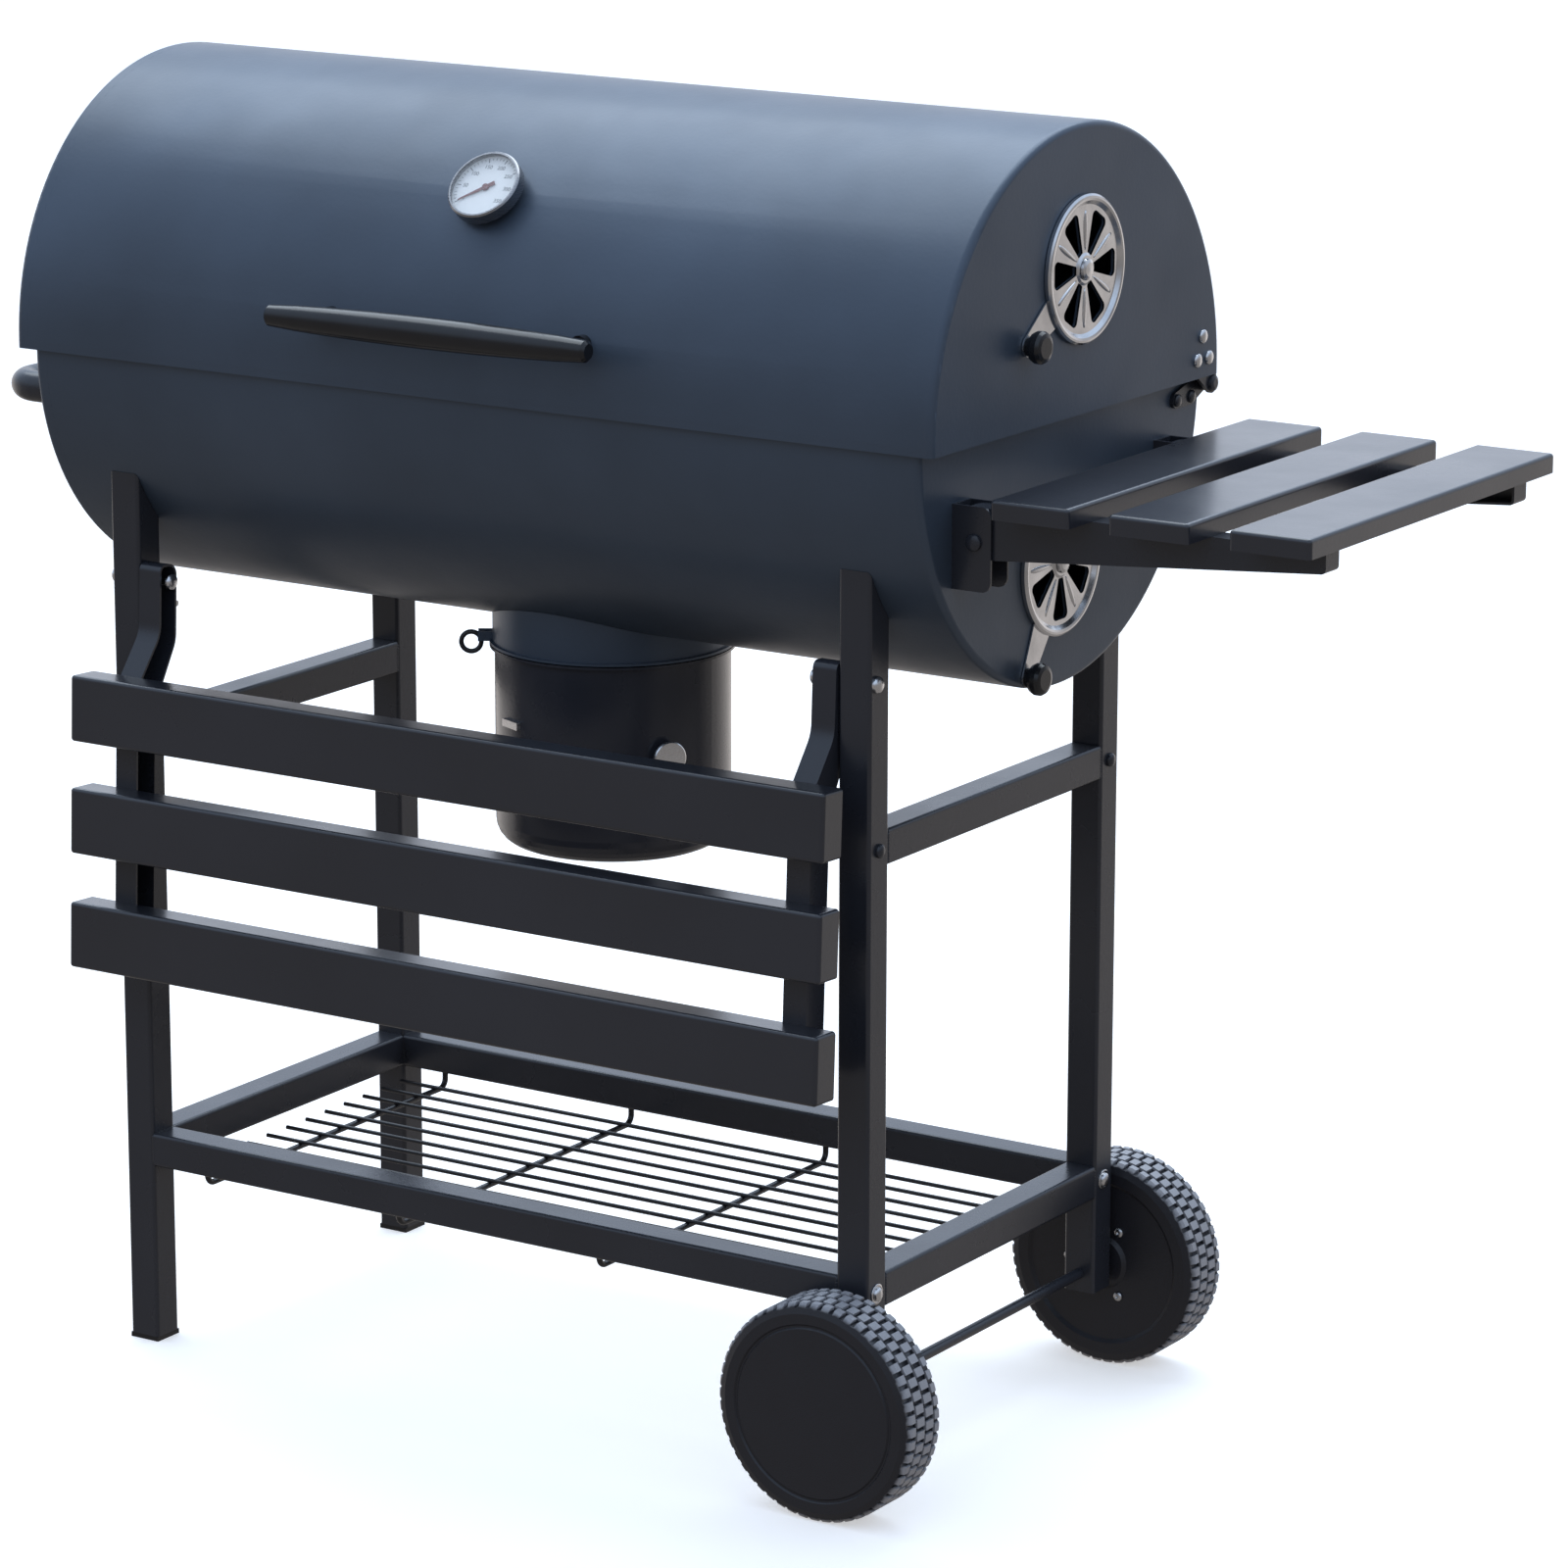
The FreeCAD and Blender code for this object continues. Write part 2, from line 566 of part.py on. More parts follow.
def wire_shelf():
    """Long wires lying on cross wires whose ends turn up to the front and rear rails' undersides."""
    long_r = 1.75
    cross_r = 2.5
    cross_z = SHELF_WIRE_Z - long_r - cross_r + 0.6
    wires = []
    spacing = 27.0
    for i in range(12):
        y = spacing * (i - 5.5)
        wires.append(rod(V(-328, y, SHELF_WIRE_Z), V(328, y, SHELF_WIRE_Z), long_r))
    turn = 8.0
    end_y = LEG_IN_Y + 7.0
    for x in CROSS_WIRE_X:
        flat_y = end_y - turn
        wires.append(rod(V(x, -flat_y, cross_z), V(x, flat_y, cross_z), cross_r))
        for side in (-1, 1):
            section = Part.Face(Part.Wire(Part.makeCircle(cross_r, V(x, side * flat_y, cross_z),
                                                          V(0, 1, 0))))
            bend = section.revolve(V(x, side * flat_y, cross_z + turn), V(1, 0, 0), side * 90)
            foot = V(x, side * end_y, cross_z + turn)
            wires += [bend, rod(foot, V(x, side * end_y, LOW_RAIL_TOP - TUBE), cross_r)]
    return join(wires)


def axle():
    """The axle through the right legs, with a spacing sleeve between each leg and its wheel."""
    def along(start, end, radius):
        return rod(V(LEG_MID_X, start, WHEEL_R), V(LEG_MID_X, end, WHEEL_R), radius)

    end = WHEEL_OUT_Y - 9
    sleeve = along(LEG_OUT_Y, WHEEL_IN_Y - 0.5, 9.0)
    return join([along(-end, end, AXLE_R), sleeve, mirror_y(sleeve)])


def wheel():
    """The wheel at -Y: one moulding with smooth side discs and rows of small tread blocks."""
    axis = V(0, -1, 0)
    base = V(LEG_MID_X, -WHEEL_IN_Y, WHEEL_R)
    width = WHEEL_OUT_Y - WHEEL_IN_Y
    bore = AXLE_R + RUNNING
    bore_end = width - 7.0
    profile = [
        (0.0, bore), (0.0, HUB_R), (3.0, HUB_R + 3), (3.0, 66.0), (0.5, 69.0), (0.5, 78.0),
        (2.5, WHEEL_R - 3), (5.5, WHEEL_R), (width - 6.0, WHEEL_R), (width - 3.0, WHEEL_R - 2.5),
        (width - 1.0, WHEEL_R - 8), (width - 1.0, 71.0), (width - 2.2, 69.8), (width - 2.2, 68.4),
        (width - 1.0, 67.2), (width - 0.3, 40.0), (width, 15.0), (width, 0.0), (bore_end, 0.0),
        (bore_end, bore),
    ]
    body = turned(profile, base, axis)
    grooves = []
    pitch = width / TREAD_ROWS
    for row in range(TREAD_ROWS):
        start = pitch * row + (0.9 if row else -1.0)
        end = pitch * (row + 1) + (-0.9 if row < TREAD_ROWS - 1 else 1.0)
        for i in range(TREAD_BLOCKS):
            angle = 360 * (i + 0.5 * (row % 2)) / TREAD_BLOCKS
            groove = box(-1.9, 1.9, -end, -start, WHEEL_R - TREAD_DEPTH, WHEEL_R + 2)
            groove.rotate(V(0, 0, 0), V(0, 1, 0), angle)
            groove.translate(base)
            grooves.append(groove)
    for row in range(1, TREAD_ROWS):
        along = pitch * row
        ring = turned([(along - 1.2, WHEEL_R - TREAD_DEPTH), (along - 1.2, WHEEL_R + 1),
                       (along + 1.2, WHEEL_R + 1), (along + 1.2, WHEEL_R - TREAD_DEPTH)], base, axis)
        grooves.append(ring)
    return body.cut(grooves)


# ---- front shelf --------------------------------------------------------------------------
def hang(shape):
    """Turns a piece of the straight-hanging front shelf out to the angle that it rests at."""
    shape = shape.copy()
    shape.rotate(V(0, SHELF_PIVOT_Y, SHELF_PIVOT_Z), V(-1, 0, 0), SHELF_TILT)
    return shape


def shelf_point(x, forward, drop):
    return V(x, SHELF_PIVOT_Y - forward, SHELF_PIVOT_Z - drop)


def shelf_arm_outline(x):
    behind = SHELF_FACE - SHELF_SLAT_T
    corners = [
        (10.5, -14, 6), (10.5, 42, 26), (behind, 82, 20), (behind, 311, 5),
        (14, 311, 5), (14, 98, 26), (-11, 50, 26), (-11, -14, 10),
    ]
    points = [shelf_point(x, forward, drop) for forward, drop, _ in corners]
    return rounded_outline(points, [radius for _, _, radius in corners])


def stamped(outline, whole, floor):
    """A pressed arm: the outline as a floor with an upstanding edge all round."""
    edge = 2.0
    block = outline.extrude(whole)
    hollow = outline.makeOffset2D(-edge)
    hollow.translate(floor)
    return block.cut(hollow.extrude(whole))


def front_shelf():
    width = SHELF_ARM_OUT - SHELF_ARM_IN
    right_arm = stamped(shelf_arm_outline(SHELF_ARM_OUT), V(-width, 0, 0), V(-2.0, 0, 0))
    bore = rod(shelf_point(200, 0, 0), shelf_point(400, 0, 0), 4.0 + RUNNING)
    right_arm = right_arm.cut(bore)
    pieces = {
        "front_shelf_arm_left": hang(mirror_x(right_arm)),
        "front_shelf_arm_right": hang(right_arm),
    }
    front = SHELF_PIVOT_Y - SHELF_FACE
    back = front + SHELF_SLAT_T
    for number, drop in enumerate(SHELF_DROPS, 1):
        middle = SHELF_PIVOT_Z - drop
        bar = box(-SHELF_HALF, SHELF_HALF, front, back, middle - SHELF_SLAT_H / 2,
                  middle + SHELF_SLAT_H / 2)
        seam = box(SHEET - SHELF_HALF, SHELF_HALF - SHEET, back - 2 * SHEET, back + 1,
                   middle - SLAT_SEAM / 2, middle + SLAT_SEAM / 2)
        pieces[f"front_shelf_slat_{number}"] = hang(rolled_slat(bar, "y", front, seam))
    return pieces


def rolled_slat(bar, facing, face, seam):
    """A hollow slat of sheet, rounded at its face and ends, with a seam along its back."""
    rim = [edge for edge in bar.Edges if on_plane(edge, facing, face) or along_axis(edge, facing)]
    around = bar.BoundBox
    inside = box(around.XMin + SHEET, around.XMax - SHEET, around.YMin + SHEET, around.YMax - SHEET,
                 around.ZMin + SHEET, around.ZMax - SHEET)
    return bar.makeFillet(SLAT_CORNER, rim).cut([inside, seam])


def on_plane(edge, axis, value):
    return all(abs(getattr(vertex.Point, axis) - value) < 1e-4 for vertex in edge.Vertexes)


def along_axis(edge, axis):
    start, end = [vertex.Point for vertex in edge.Vertexes]
    return abs(getattr((end - start).normalize(), axis)) > 0.999


# ---- side table ---------------------------------------------------------------------------
def side_table():
    under = TABLE_TOP - TABLE_SLAT_T
    back = TABLE_PIVOT_X - TABLE_ROOT_R
    corners = [
        (back, TABLE_PIVOT_Z - TABLE_ROOT_R, TABLE_ROOT_R - 0.5), (TABLE_ARM_END, under - 17, 4),
        (TABLE_ARM_END, under, 2), (back, under, 10),
    ]
    outline = rounded_outline([V(x, TABLE_ARM_OUT, z) for x, z, _ in corners], [r for _, _, r in corners])
    arm = stamped(outline, V(0, TABLE_ARM_IN - TABLE_ARM_OUT, 0), V(0, -2.0, 0))
    arm = arm.cut(rod(V(TABLE_PIVOT_X, 100, TABLE_PIVOT_Z), V(TABLE_PIVOT_X, 200, TABLE_PIVOT_Z),
                      4.0 + RUNNING))
    pieces = {"side_table_arm_rear": arm, "side_table_arm_front": mirror_y(arm)}
    for number, x in enumerate(TABLE_SLAT_X, 1):
        middle = x + TABLE_SLAT_W / 2
        bar = box(x, x + TABLE_SLAT_W, -TABLE_HALF, TABLE_HALF, under, TABLE_TOP)
        seam = box(middle - SLAT_SEAM / 2, middle + SLAT_SEAM / 2, SHEET - TABLE_HALF,
                   TABLE_HALF - SHEET, under - 1, under + 2 * SHEET)
        pieces[f"side_table_slat_{number}"] = rolled_slat(bar, "z", TABLE_TOP, seam)
    return pieces


def side_table_brackets():
    """Channels on the right end, open outwards, that the table's arms turn in."""
    wall = 2.0
    x0, x1 = BRACKET_X
    y0, y1 = BRACKET_Y
    z0, z1 = BRACKET_Z
    channel = box(x0, x1, y0, y1, z0, z1)
    corners = [edge for edge in channel.Edges if along_axis(edge, "y") and on_plane(edge, "x", x1)]
    channel = channel.makeFillet(8.0, corners)
    channel = channel.cut(box(x0 + wall, x1 + 1, y0 + wall, y1 - wall, z0 - 1, z1 + 1))
    channel = channel.cut(rod(V(TABLE_PIVOT_X, 100, TABLE_PIVOT_Z), V(TABLE_PIVOT_X, 180, TABLE_PIVOT_Z),
                              4.0))
    return Part.makeCompound([channel, mirror_y(channel)])


# ---- bolts of the stand and body ----------------------------------------------------------
def pivot_bolts():
    """Bolts that the shelf's and the table's arms turn on, and pins that stop the shelf's arms."""
    solids = []
    head_r = 6.5
    inner = V(SHELF_ARM_IN - 2.0, SHELF_PIVOT_Y, SHELF_PIVOT_Z)
    outer = V(LEG_OUT_X, SHELF_PIVOT_Y, SHELF_PIVOT_Z)
    shelf_bolt = join([
        rod(inner, outer, 4.0), dome(outer, V(1, 0, 0), head_r, 5.0),
        dome(inner, V(-1, 0, 0), head_r, 5.0),
    ])
    solids += [shelf_bolt, mirror_x(shelf_bolt)]
    stop_r = 2.5
    stop = hang(rod(shelf_point(SHELF_ARM_IN + 2, -11.4 - stop_r, 20),
                    shelf_point(LEG_IN_X, -11.4 - stop_r, 20), stop_r))
    solids += [stop, mirror_x(stop)]
    start = V(TABLE_PIVOT_X, BRACKET_Y[0], TABLE_PIVOT_Z)
    end = V(TABLE_PIVOT_X, BRACKET_Y[1], TABLE_PIVOT_Z)
    table_bolt = join([rod(start, end, 4.0), dome(start, V(0, -1, 0), head_r, 4.0),
                       dome(end, V(0, 1, 0), head_r, 4.0)])
    solids += [table_bolt, mirror_y(table_bolt)]
    return Part.makeCompound(solids)


def body_fasteners(vent_pin):
    """Bolt heads on the stand's joints and inside the barrel over the legs, and the vent's pin."""
    solids = [vent_pin]
    for x_sign in (-1, 1):
        out = V(x_sign, 0, 0)
        for y in (-LEG_MID_Y, LEG_MID_Y):
            for z in (LOW_RAIL_TOP - TUBE / 2, HIGH_RAIL_TOP - TUBE / 2):
                solids.append(dome(V(x_sign * LEG_OUT_X, y, z), out, 5.5, 4.0))
            away = V(0, y, -math.sqrt(BODY_R ** 2 - y ** 2)).normalize()
            face = V(x_sign * LEG_MID_X, 0, BODY_AXIS_Z) + away * (BODY_R - SHEET - 0.1)
            solids.append(dome(face, away.negative(), 6.0, 4.0))
    return Part.makeCompound(solids)


# ---- ash catcher --------------------------------------------------------------------------
def ash_collar():
    """A ring under the barrel's outlet, with the ears that hold the clip's pin."""
    skin = rod(V(-200, 0, BODY_AXIS_Z), V(200, 0, BODY_AXIS_Z), BODY_R + 0.1)
    wall = turned([(COLLAR_Z, COLLAR_R - 2.0), (COLLAR_Z, COLLAR_R), (BODY_AXIS_Z - 170, COLLAR_R),
                   (BODY_AXIS_Z - 170, COLLAR_R - 2.0)], V(0, 0, 0), V(0, 0, 1))
    lip = turned([(COLLAR_Z, ASH_HOLE_R), (COLLAR_Z, BUCKET_LIP_R), (COLLAR_Z + 2.0, BUCKET_LIP_R),
                  (COLLAR_Z + 2.0, ASH_HOLE_R)], V(0, 0, 0), V(0, 0, 1))
    ears = []
    for side in (-6.0, 4.0):
        ear = box(side, side + 2.0, -(CLIP_PIN_R + 4), -(COLLAR_R - 1), COLLAR_Z, CLIP_PIN_Z + 4)
        ear.rotate(V(0, 0, 0), V(0, 0, 1), CLIP_DEG)
        ears.append(ear)
    pin_way = V(math.cos(math.radians(CLIP_DEG)), math.sin(math.radians(CLIP_DEG)), 0)
    middle = polar(CLIP_DEG, CLIP_PIN_R, CLIP_PIN_Z)
    pin = rod(middle - pin_way * 6.5, middle + pin_way * 6.5, 1.5)
    return join([wall, lip, *ears, pin]).cut(skin)


def bucket_clip():
    """A wire ring on a sleeve that turns on the collar's pin and leans on the bucket's rim."""
    middle = polar(CLIP_DEG, CLIP_PIN_R, CLIP_PIN_Z)
    pin_way = V(math.cos(math.radians(CLIP_DEG)), math.sin(math.radians(CLIP_DEG)), 0)
    sleeve = rod(middle - pin_way * 3.2, middle + pin_way * 3.2, 3.0)
    sleeve = sleeve.cut(rod(middle - pin_way * 5, middle + pin_way * 5, 1.5 + RUNNING))
    ring = Part.makeTorus(8.0, 2.0, polar(CLIP_DEG, CLIP_PIN_R + 9.5, CLIP_PIN_Z - 5.5), pin_way)
    ring = ring.cut(rod(middle - pin_way * 5, middle + pin_way * 5, 2.0))
    return join([sleeve, ring])


def bucket_foot(radius, start, end):
    """Points round the bucket's rounded foot, between two angles up from its floor."""
    steps = 3
    points = []
    for i in range(steps + 1):
        angle = math.radians(start + (end - start) * i / steps)
        points.append((BUCKET_BOTTOM + BUCKET_CORNER - radius * math.cos(angle),
                       BUCKET_R - BUCKET_CORNER + radius * math.sin(angle)))
    return points


def bucket_pieces():
    """A deep round bucket: a pressed base joined in the rounded foot to a wall with a rolled lip."""
    inner = BUCKET_CORNER - BUCKET_SHEET
    base = [(BUCKET_BOTTOM, 0.0), *bucket_foot(BUCKET_CORNER, 0, BUCKET_SEAM_DEG),
            *reversed(bucket_foot(inner, 0, BUCKET_SEAM_DEG)), (BUCKET_BOTTOM + BUCKET_SHEET, 0.0)]
    wall = [*bucket_foot(BUCKET_CORNER, BUCKET_SEAM_DEG, 90), (BUCKET_TOP - 2.0, BUCKET_R),
            (BUCKET_TOP - 2.0, BUCKET_LIP_R), (BUCKET_TOP, BUCKET_LIP_R),
            (BUCKET_TOP, BUCKET_R - BUCKET_SHEET), *reversed(bucket_foot(inner, BUCKET_SEAM_DEG, 90))]
    return {"bucket_base": turned(base, V(0, 0, 0), V(0, 0, 1)),
            "bucket_wall": turned(wall, V(0, 0, 0), V(0, 0, 1))}


def bucket_trim():
    """The bucket's round pull knob and the small plate that the clip's wire is kept by."""
    way = polar(KNOB_DEG, 1, 0)
    knob = turned([(BUCKET_R - 0.4, 0), (BUCKET_R - 0.4, 6), (BUCKET_R + 6, 6), (BUCKET_R + 6, 13),
                   (BUCKET_R + 7, 14), (BUCKET_R + 9, 14), (BUCKET_R + 9.8, 13.2),
                   (BUCKET_R + 9.8, 0)], V(0, 0, KNOB_Z), way)
    keeper = box(-11, 11, -(BUCKET_R + 3), -(BUCKET_R - 4), KEEPER_Z - 3, KEEPER_Z + 3)
    keeper.rotate(V(0, 0, 0), V(0, 0, 1), KEEPER_DEG)
    inside = rod(V(0, 0, BUCKET_BOTTOM), V(0, 0, BUCKET_TOP), BUCKET_R)
    return Part.makeCompound([knob.cut(inside), keeper.cut(inside)])


# ---- grates -------------------------------------------------------------------------------
def grate_ledges():
    ledges = []
    reach = BODY_HALF - CAP_DEPTH - 6
    for top, wall_y, inner_y in ((COOK_LEDGE_TOP, 206.0, 186.0), (COAL_LEDGE_TOP, 161.0, 141.0)):
        shelf = box(-reach, reach, inner_y, wall_y, top - SHEET, top)
        lip = box(-reach, reach, inner_y, inner_y + SHEET, top - 9, top - SHEET)
        ledge = join([shelf, lip])
        ledges += [ledge, mirror_y(ledge)]
    return Part.makeCompound(ledges)


def grate(x0, x1, half_y, ledge_top, bar_gap, rod_ys):
    """Bars across the barrel, welded on long rods that rest on the ledges."""
    rod_z = ledge_top + LOOSE + GRATE_ROD
    bar_z = rod_z + GRATE_ROD + GRATE_BAR - 0.8
    wires = [rod(V(x0, y, rod_z), V(x1, y, rod_z), GRATE_ROD) for y in rod_ys]
    count = int((x1 - x0 - 10) / bar_gap)
    first = (x0 + x1) / 2 - bar_gap * (count - 1) / 2
    for i in range(count):
        x = first + bar_gap * i
        wires.append(rod(V(x, -half_y, bar_z), V(x, half_y, bar_z), GRATE_BAR))
    return join(wires)


def grates():
    cook_rods = (-193.0, 0.0, 193.0)
    coal_rods = (-150.0, 0.0, 150.0)
    return {
        "cooking_grate_left": grate(-403, -3, 198, COOK_LEDGE_TOP, 16.0, cook_rods),
        "cooking_grate_right": grate(3, 403, 198, COOK_LEDGE_TOP, 16.0, cook_rods),
        "charcoal_grate": grate(-385, 385, 155, COAL_LEDGE_TOP, 22.0, coal_rods),
    }


# ---- carrying handle ----------------------------------------------------------------------
def carry_handle():
    """A bent tube across the left end, to lift the legs that have no wheels."""
    wall = 1.5
    cap_x = -BODY_HALF
    bend_x = CARRY_X + CARRY_BEND
    bend_y = CARRY_Y - CARRY_BEND

    def solid(radius):
        shapes = [rod(V(CARRY_X, -bend_y, CARRY_Z), V(CARRY_X, bend_y, CARRY_Z), radius)]
        for side in (-1, 1):
            section = Part.Face(Part.Wire(Part.makeCircle(radius, V(CARRY_X, side * bend_y, CARRY_Z),
                                                          V(0, 1, 0))))
            pivot = V(bend_x, side * bend_y, CARRY_Z)
            shapes.append(section.revolve(pivot, V(0, 0, 1), -90 * side))
            shapes.append(rod(V(cap_x, side * CARRY_Y, CARRY_Z), V(bend_x, side * CARRY_Y, CARRY_Z), radius))
        return join(shapes)

    return solid(CARRY_R).cut(solid(CARRY_R - wall))


# ---- the whole grill ----------------------------------------------------------------------
def build():
    lid_disc, lid_knob, lid_pin = damper(LID_VENT, LID_HALF, LID_LEVER_DEG)
    body_disc, body_knob, body_pin = damper(BODY_VENT, BODY_HALF, BODY_LEVER_DEG)
    front_wheel = wheel()
    parts = {}
    parts.update(lid_pieces())
    parts.update(lid_handle())
    parts.update(thermometer())
    parts["lid_hinge_plates"] = lid_hinge_plates()
    parts["lid_fasteners"] = lid_fasteners(lid_pin)
    parts["lid_damper"] = lid_disc
    parts["lid_damper_knob"] = lid_knob
    parts.update(body_pieces())
    parts["body_damper"] = body_disc
    parts["body_damper_knob"] = body_knob
    parts["body_hinge_plates"] = body_hinge_plates()
    parts["hinge_pins"] = hinge_pins()
    parts["body_fasteners"] = body_fasteners(body_pin)
    parts["pivot_bolts"] = pivot_bolts()
    parts["carry_handle"] = carry_handle()
    parts["grate_ledges"] = grate_ledges()
    parts.update(grates())
    parts["ash_collar"] = ash_collar()
    parts.update(bucket_pieces())
    parts["bucket_trim"] = bucket_trim()
    parts["bucket_clip"] = bucket_clip()
    parts.update(legs())
    parts["leg_feet"] = leg_feet()
    parts["leg_saddles"] = leg_saddles()
    parts.update(rails())
    parts["wire_shelf"] = wire_shelf()
    parts["axle"] = axle()
    parts["front_wheel"] = front_wheel
    parts["rear_wheel"] = mirror_y(front_wheel)
    parts.update(front_shelf())
    parts.update(side_table())
    parts["side_table_brackets"] = side_table_brackets()
    return parts


def bottom_centre(parts):
    """The middle of the bottom of the box around every piece."""
    whole = FreeCAD.BoundBox()
    for shape in parts.values():
        whole.add(shape.optimalBoundingBox(False))
    return V(whole.Center.x, whole.Center.y, whole.ZMin)


def main():
    os.makedirs("parts", exist_ok=True)
    parts = build()
    origin = bottom_centre(parts)
    for name, shape in parts.items():
        shape.translate(origin.negative())
        shape.exportStep(f"parts/{name}.step")
        print(f"{name:26s} solids {len(shape.Solids):3d} valid {shape.isValid()} "
              f"volume {shape.Volume / 1000:9.1f} cm3")
    print(len(parts), "nodes, origin", origin)
    return parts, origin


if __name__ == "__main__":
    main()
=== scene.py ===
"""A barrel charcoal grill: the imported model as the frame, its materials, its small visible fittings,
the studio round it and the camera."""

import json
import math

import bmesh
import bpy
from mathutils import Matrix, Vector

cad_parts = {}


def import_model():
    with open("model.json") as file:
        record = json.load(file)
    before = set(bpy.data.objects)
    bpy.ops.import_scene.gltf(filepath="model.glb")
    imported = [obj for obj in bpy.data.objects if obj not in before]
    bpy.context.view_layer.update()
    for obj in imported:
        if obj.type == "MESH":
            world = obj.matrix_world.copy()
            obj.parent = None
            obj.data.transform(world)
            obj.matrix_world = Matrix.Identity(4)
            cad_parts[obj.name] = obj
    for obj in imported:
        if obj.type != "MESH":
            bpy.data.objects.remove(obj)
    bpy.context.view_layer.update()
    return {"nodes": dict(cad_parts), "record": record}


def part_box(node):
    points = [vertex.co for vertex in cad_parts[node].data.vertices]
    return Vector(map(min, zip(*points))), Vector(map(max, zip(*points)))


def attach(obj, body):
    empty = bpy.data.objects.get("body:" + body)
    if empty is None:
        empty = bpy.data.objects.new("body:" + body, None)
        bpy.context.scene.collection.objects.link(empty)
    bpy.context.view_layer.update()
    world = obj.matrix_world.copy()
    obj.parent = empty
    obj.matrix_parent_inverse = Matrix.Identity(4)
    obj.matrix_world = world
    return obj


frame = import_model()
NODES = frame["nodes"]
SLOT_OF = {sub["node"]: sub["material_slot"] for sub in frame["record"]["subparts"]}

# ---- camera, in metres and degrees ---------------------------------------------------------
CAMERA_AZIMUTH = 32.90
CAMERA_ELEVATION = 13.94
CAMERA_ROLL = 0.09
CAMERA_DISTANCE = 4.959
CAMERA_AIM_OFF = Vector((0.1064, 0.0882))  # from the barrel's middle, in x and y
CAMERA_AIM_Z = 0.4790
LENS = 140.78             # in mm, as the sensor is
SENSOR = 36.0
CLIP_END = 100.0

# ---- small fittings, in metres and degrees --------------------------------------------------
LATHE_SEGMENTS = 28

WELD_RADIUS = 0.0026
WELD_INSET = 0.0022       # from a rail's faces in to the middle of its weld beads
WELD_STEPS = 26           # along each side of a rail's end
WELD_SIDES = 6
WELD_RIPPLE = 0.16        # of the bead's radius
WELD_WAVE = 2.4           # radians of the ripple from one step to the next

WASHER_HOLE = 0.0050      # radii
WASHER_OUTER = 0.0082
WASHER_THICK = 0.0009

WHEEL_SCREWS = 3
SCREW_CIRCLE = 0.0315     # from the axle
SCREW_RADIUS = 0.0040
SCREW_HEIGHT = 0.0026
SCREW_DOME_STEPS = 7
WHEEL_WEB_DEPTH = 0.0029  # from a wheel's inner edge to the face that the screws are in

DAMPER_SPOKES = 6
DAMPER_FACE = 0.0011      # out from a damper's inner side
RIB_START = 0.0145        # from a damper's middle
RIB_LENGTH = 0.030
RIB_HEIGHT = 0.0013
RIB_HALF_WIDTH = 0.0014   # at its inner end
RIB_WIDENING = 0.0016     # of the half width, from end to end
RIB_STEPS = 12
RIB_SIDES = 8
RIB_TIP = 0.02            # of its length, where the thinning stops
RIB_FULLNESS = 0.4        # less than 1 keeps it wide until close to its ends

DIAL_ANGLE = 42.0         # how far above the horizontal the thermometer faces
DIAL_START = 215.0        # the first tick, counterclockwise from the dial's right
DIAL_SWEEP = 250.0
DIAL_TICKS = 35
DIAL_STEP = 50            # from one number to the next
TICKS_PER_NUMBER = 5
DIAL_FACE = 0.00050       # out from the middle of the dial
TICK_THICK = 0.00008
LONG_TICK = (0.80, 0.00034)   # start, of the dial's radius, and half the width
SHORT_TICK = (0.86, 0.00018)
TICK_END = 0.93           # of the dial's radius, as is the next
NUMBER_PLACE = 0.66
NUMBER_SIZE = 0.0048
NUMBER_THICK = 0.00004

# ---- studio --------------------------------------------------------------------------------
FLOOR_HALF = 30.0
FLOOR_GLOW = 0.46
UP = (0.0, 0.0, 1.0)
BACKDROP_WAY = (-0.63, 0.776, 0.0)
BACKDROP = 1.15           # brightness, as ROOM and CEILING are
ROOM = 0.28
CEILING = 0.84
ROOM_TINT = (1.0, 0.94, 0.91, 1.0)
CEILING_TINT = (0.74, 0.91, 1.18, 1.0)
# Each fade goes from dark to light, as cosines of the angle off the direction that it is for.
BACKDROP_FADE = (-0.25, 0.95)
GROUND_FADE = (-0.75, -0.20)
CEILING_FADE = (-0.02, 0.52)
TINT_FADE = (-0.2, 0.5)
SOFTBOX_PLACE = Vector((-0.9, 1.2, 3.6))
SOFTBOX_AIM = Vector((-0.1, 0.0, 0.6))
SOFTBOX_SIZE = (4.5, 3.0)
SOFTBOX_POWER = 115.0
SOFTBOX_TINT = (0.86, 0.94, 1.0)


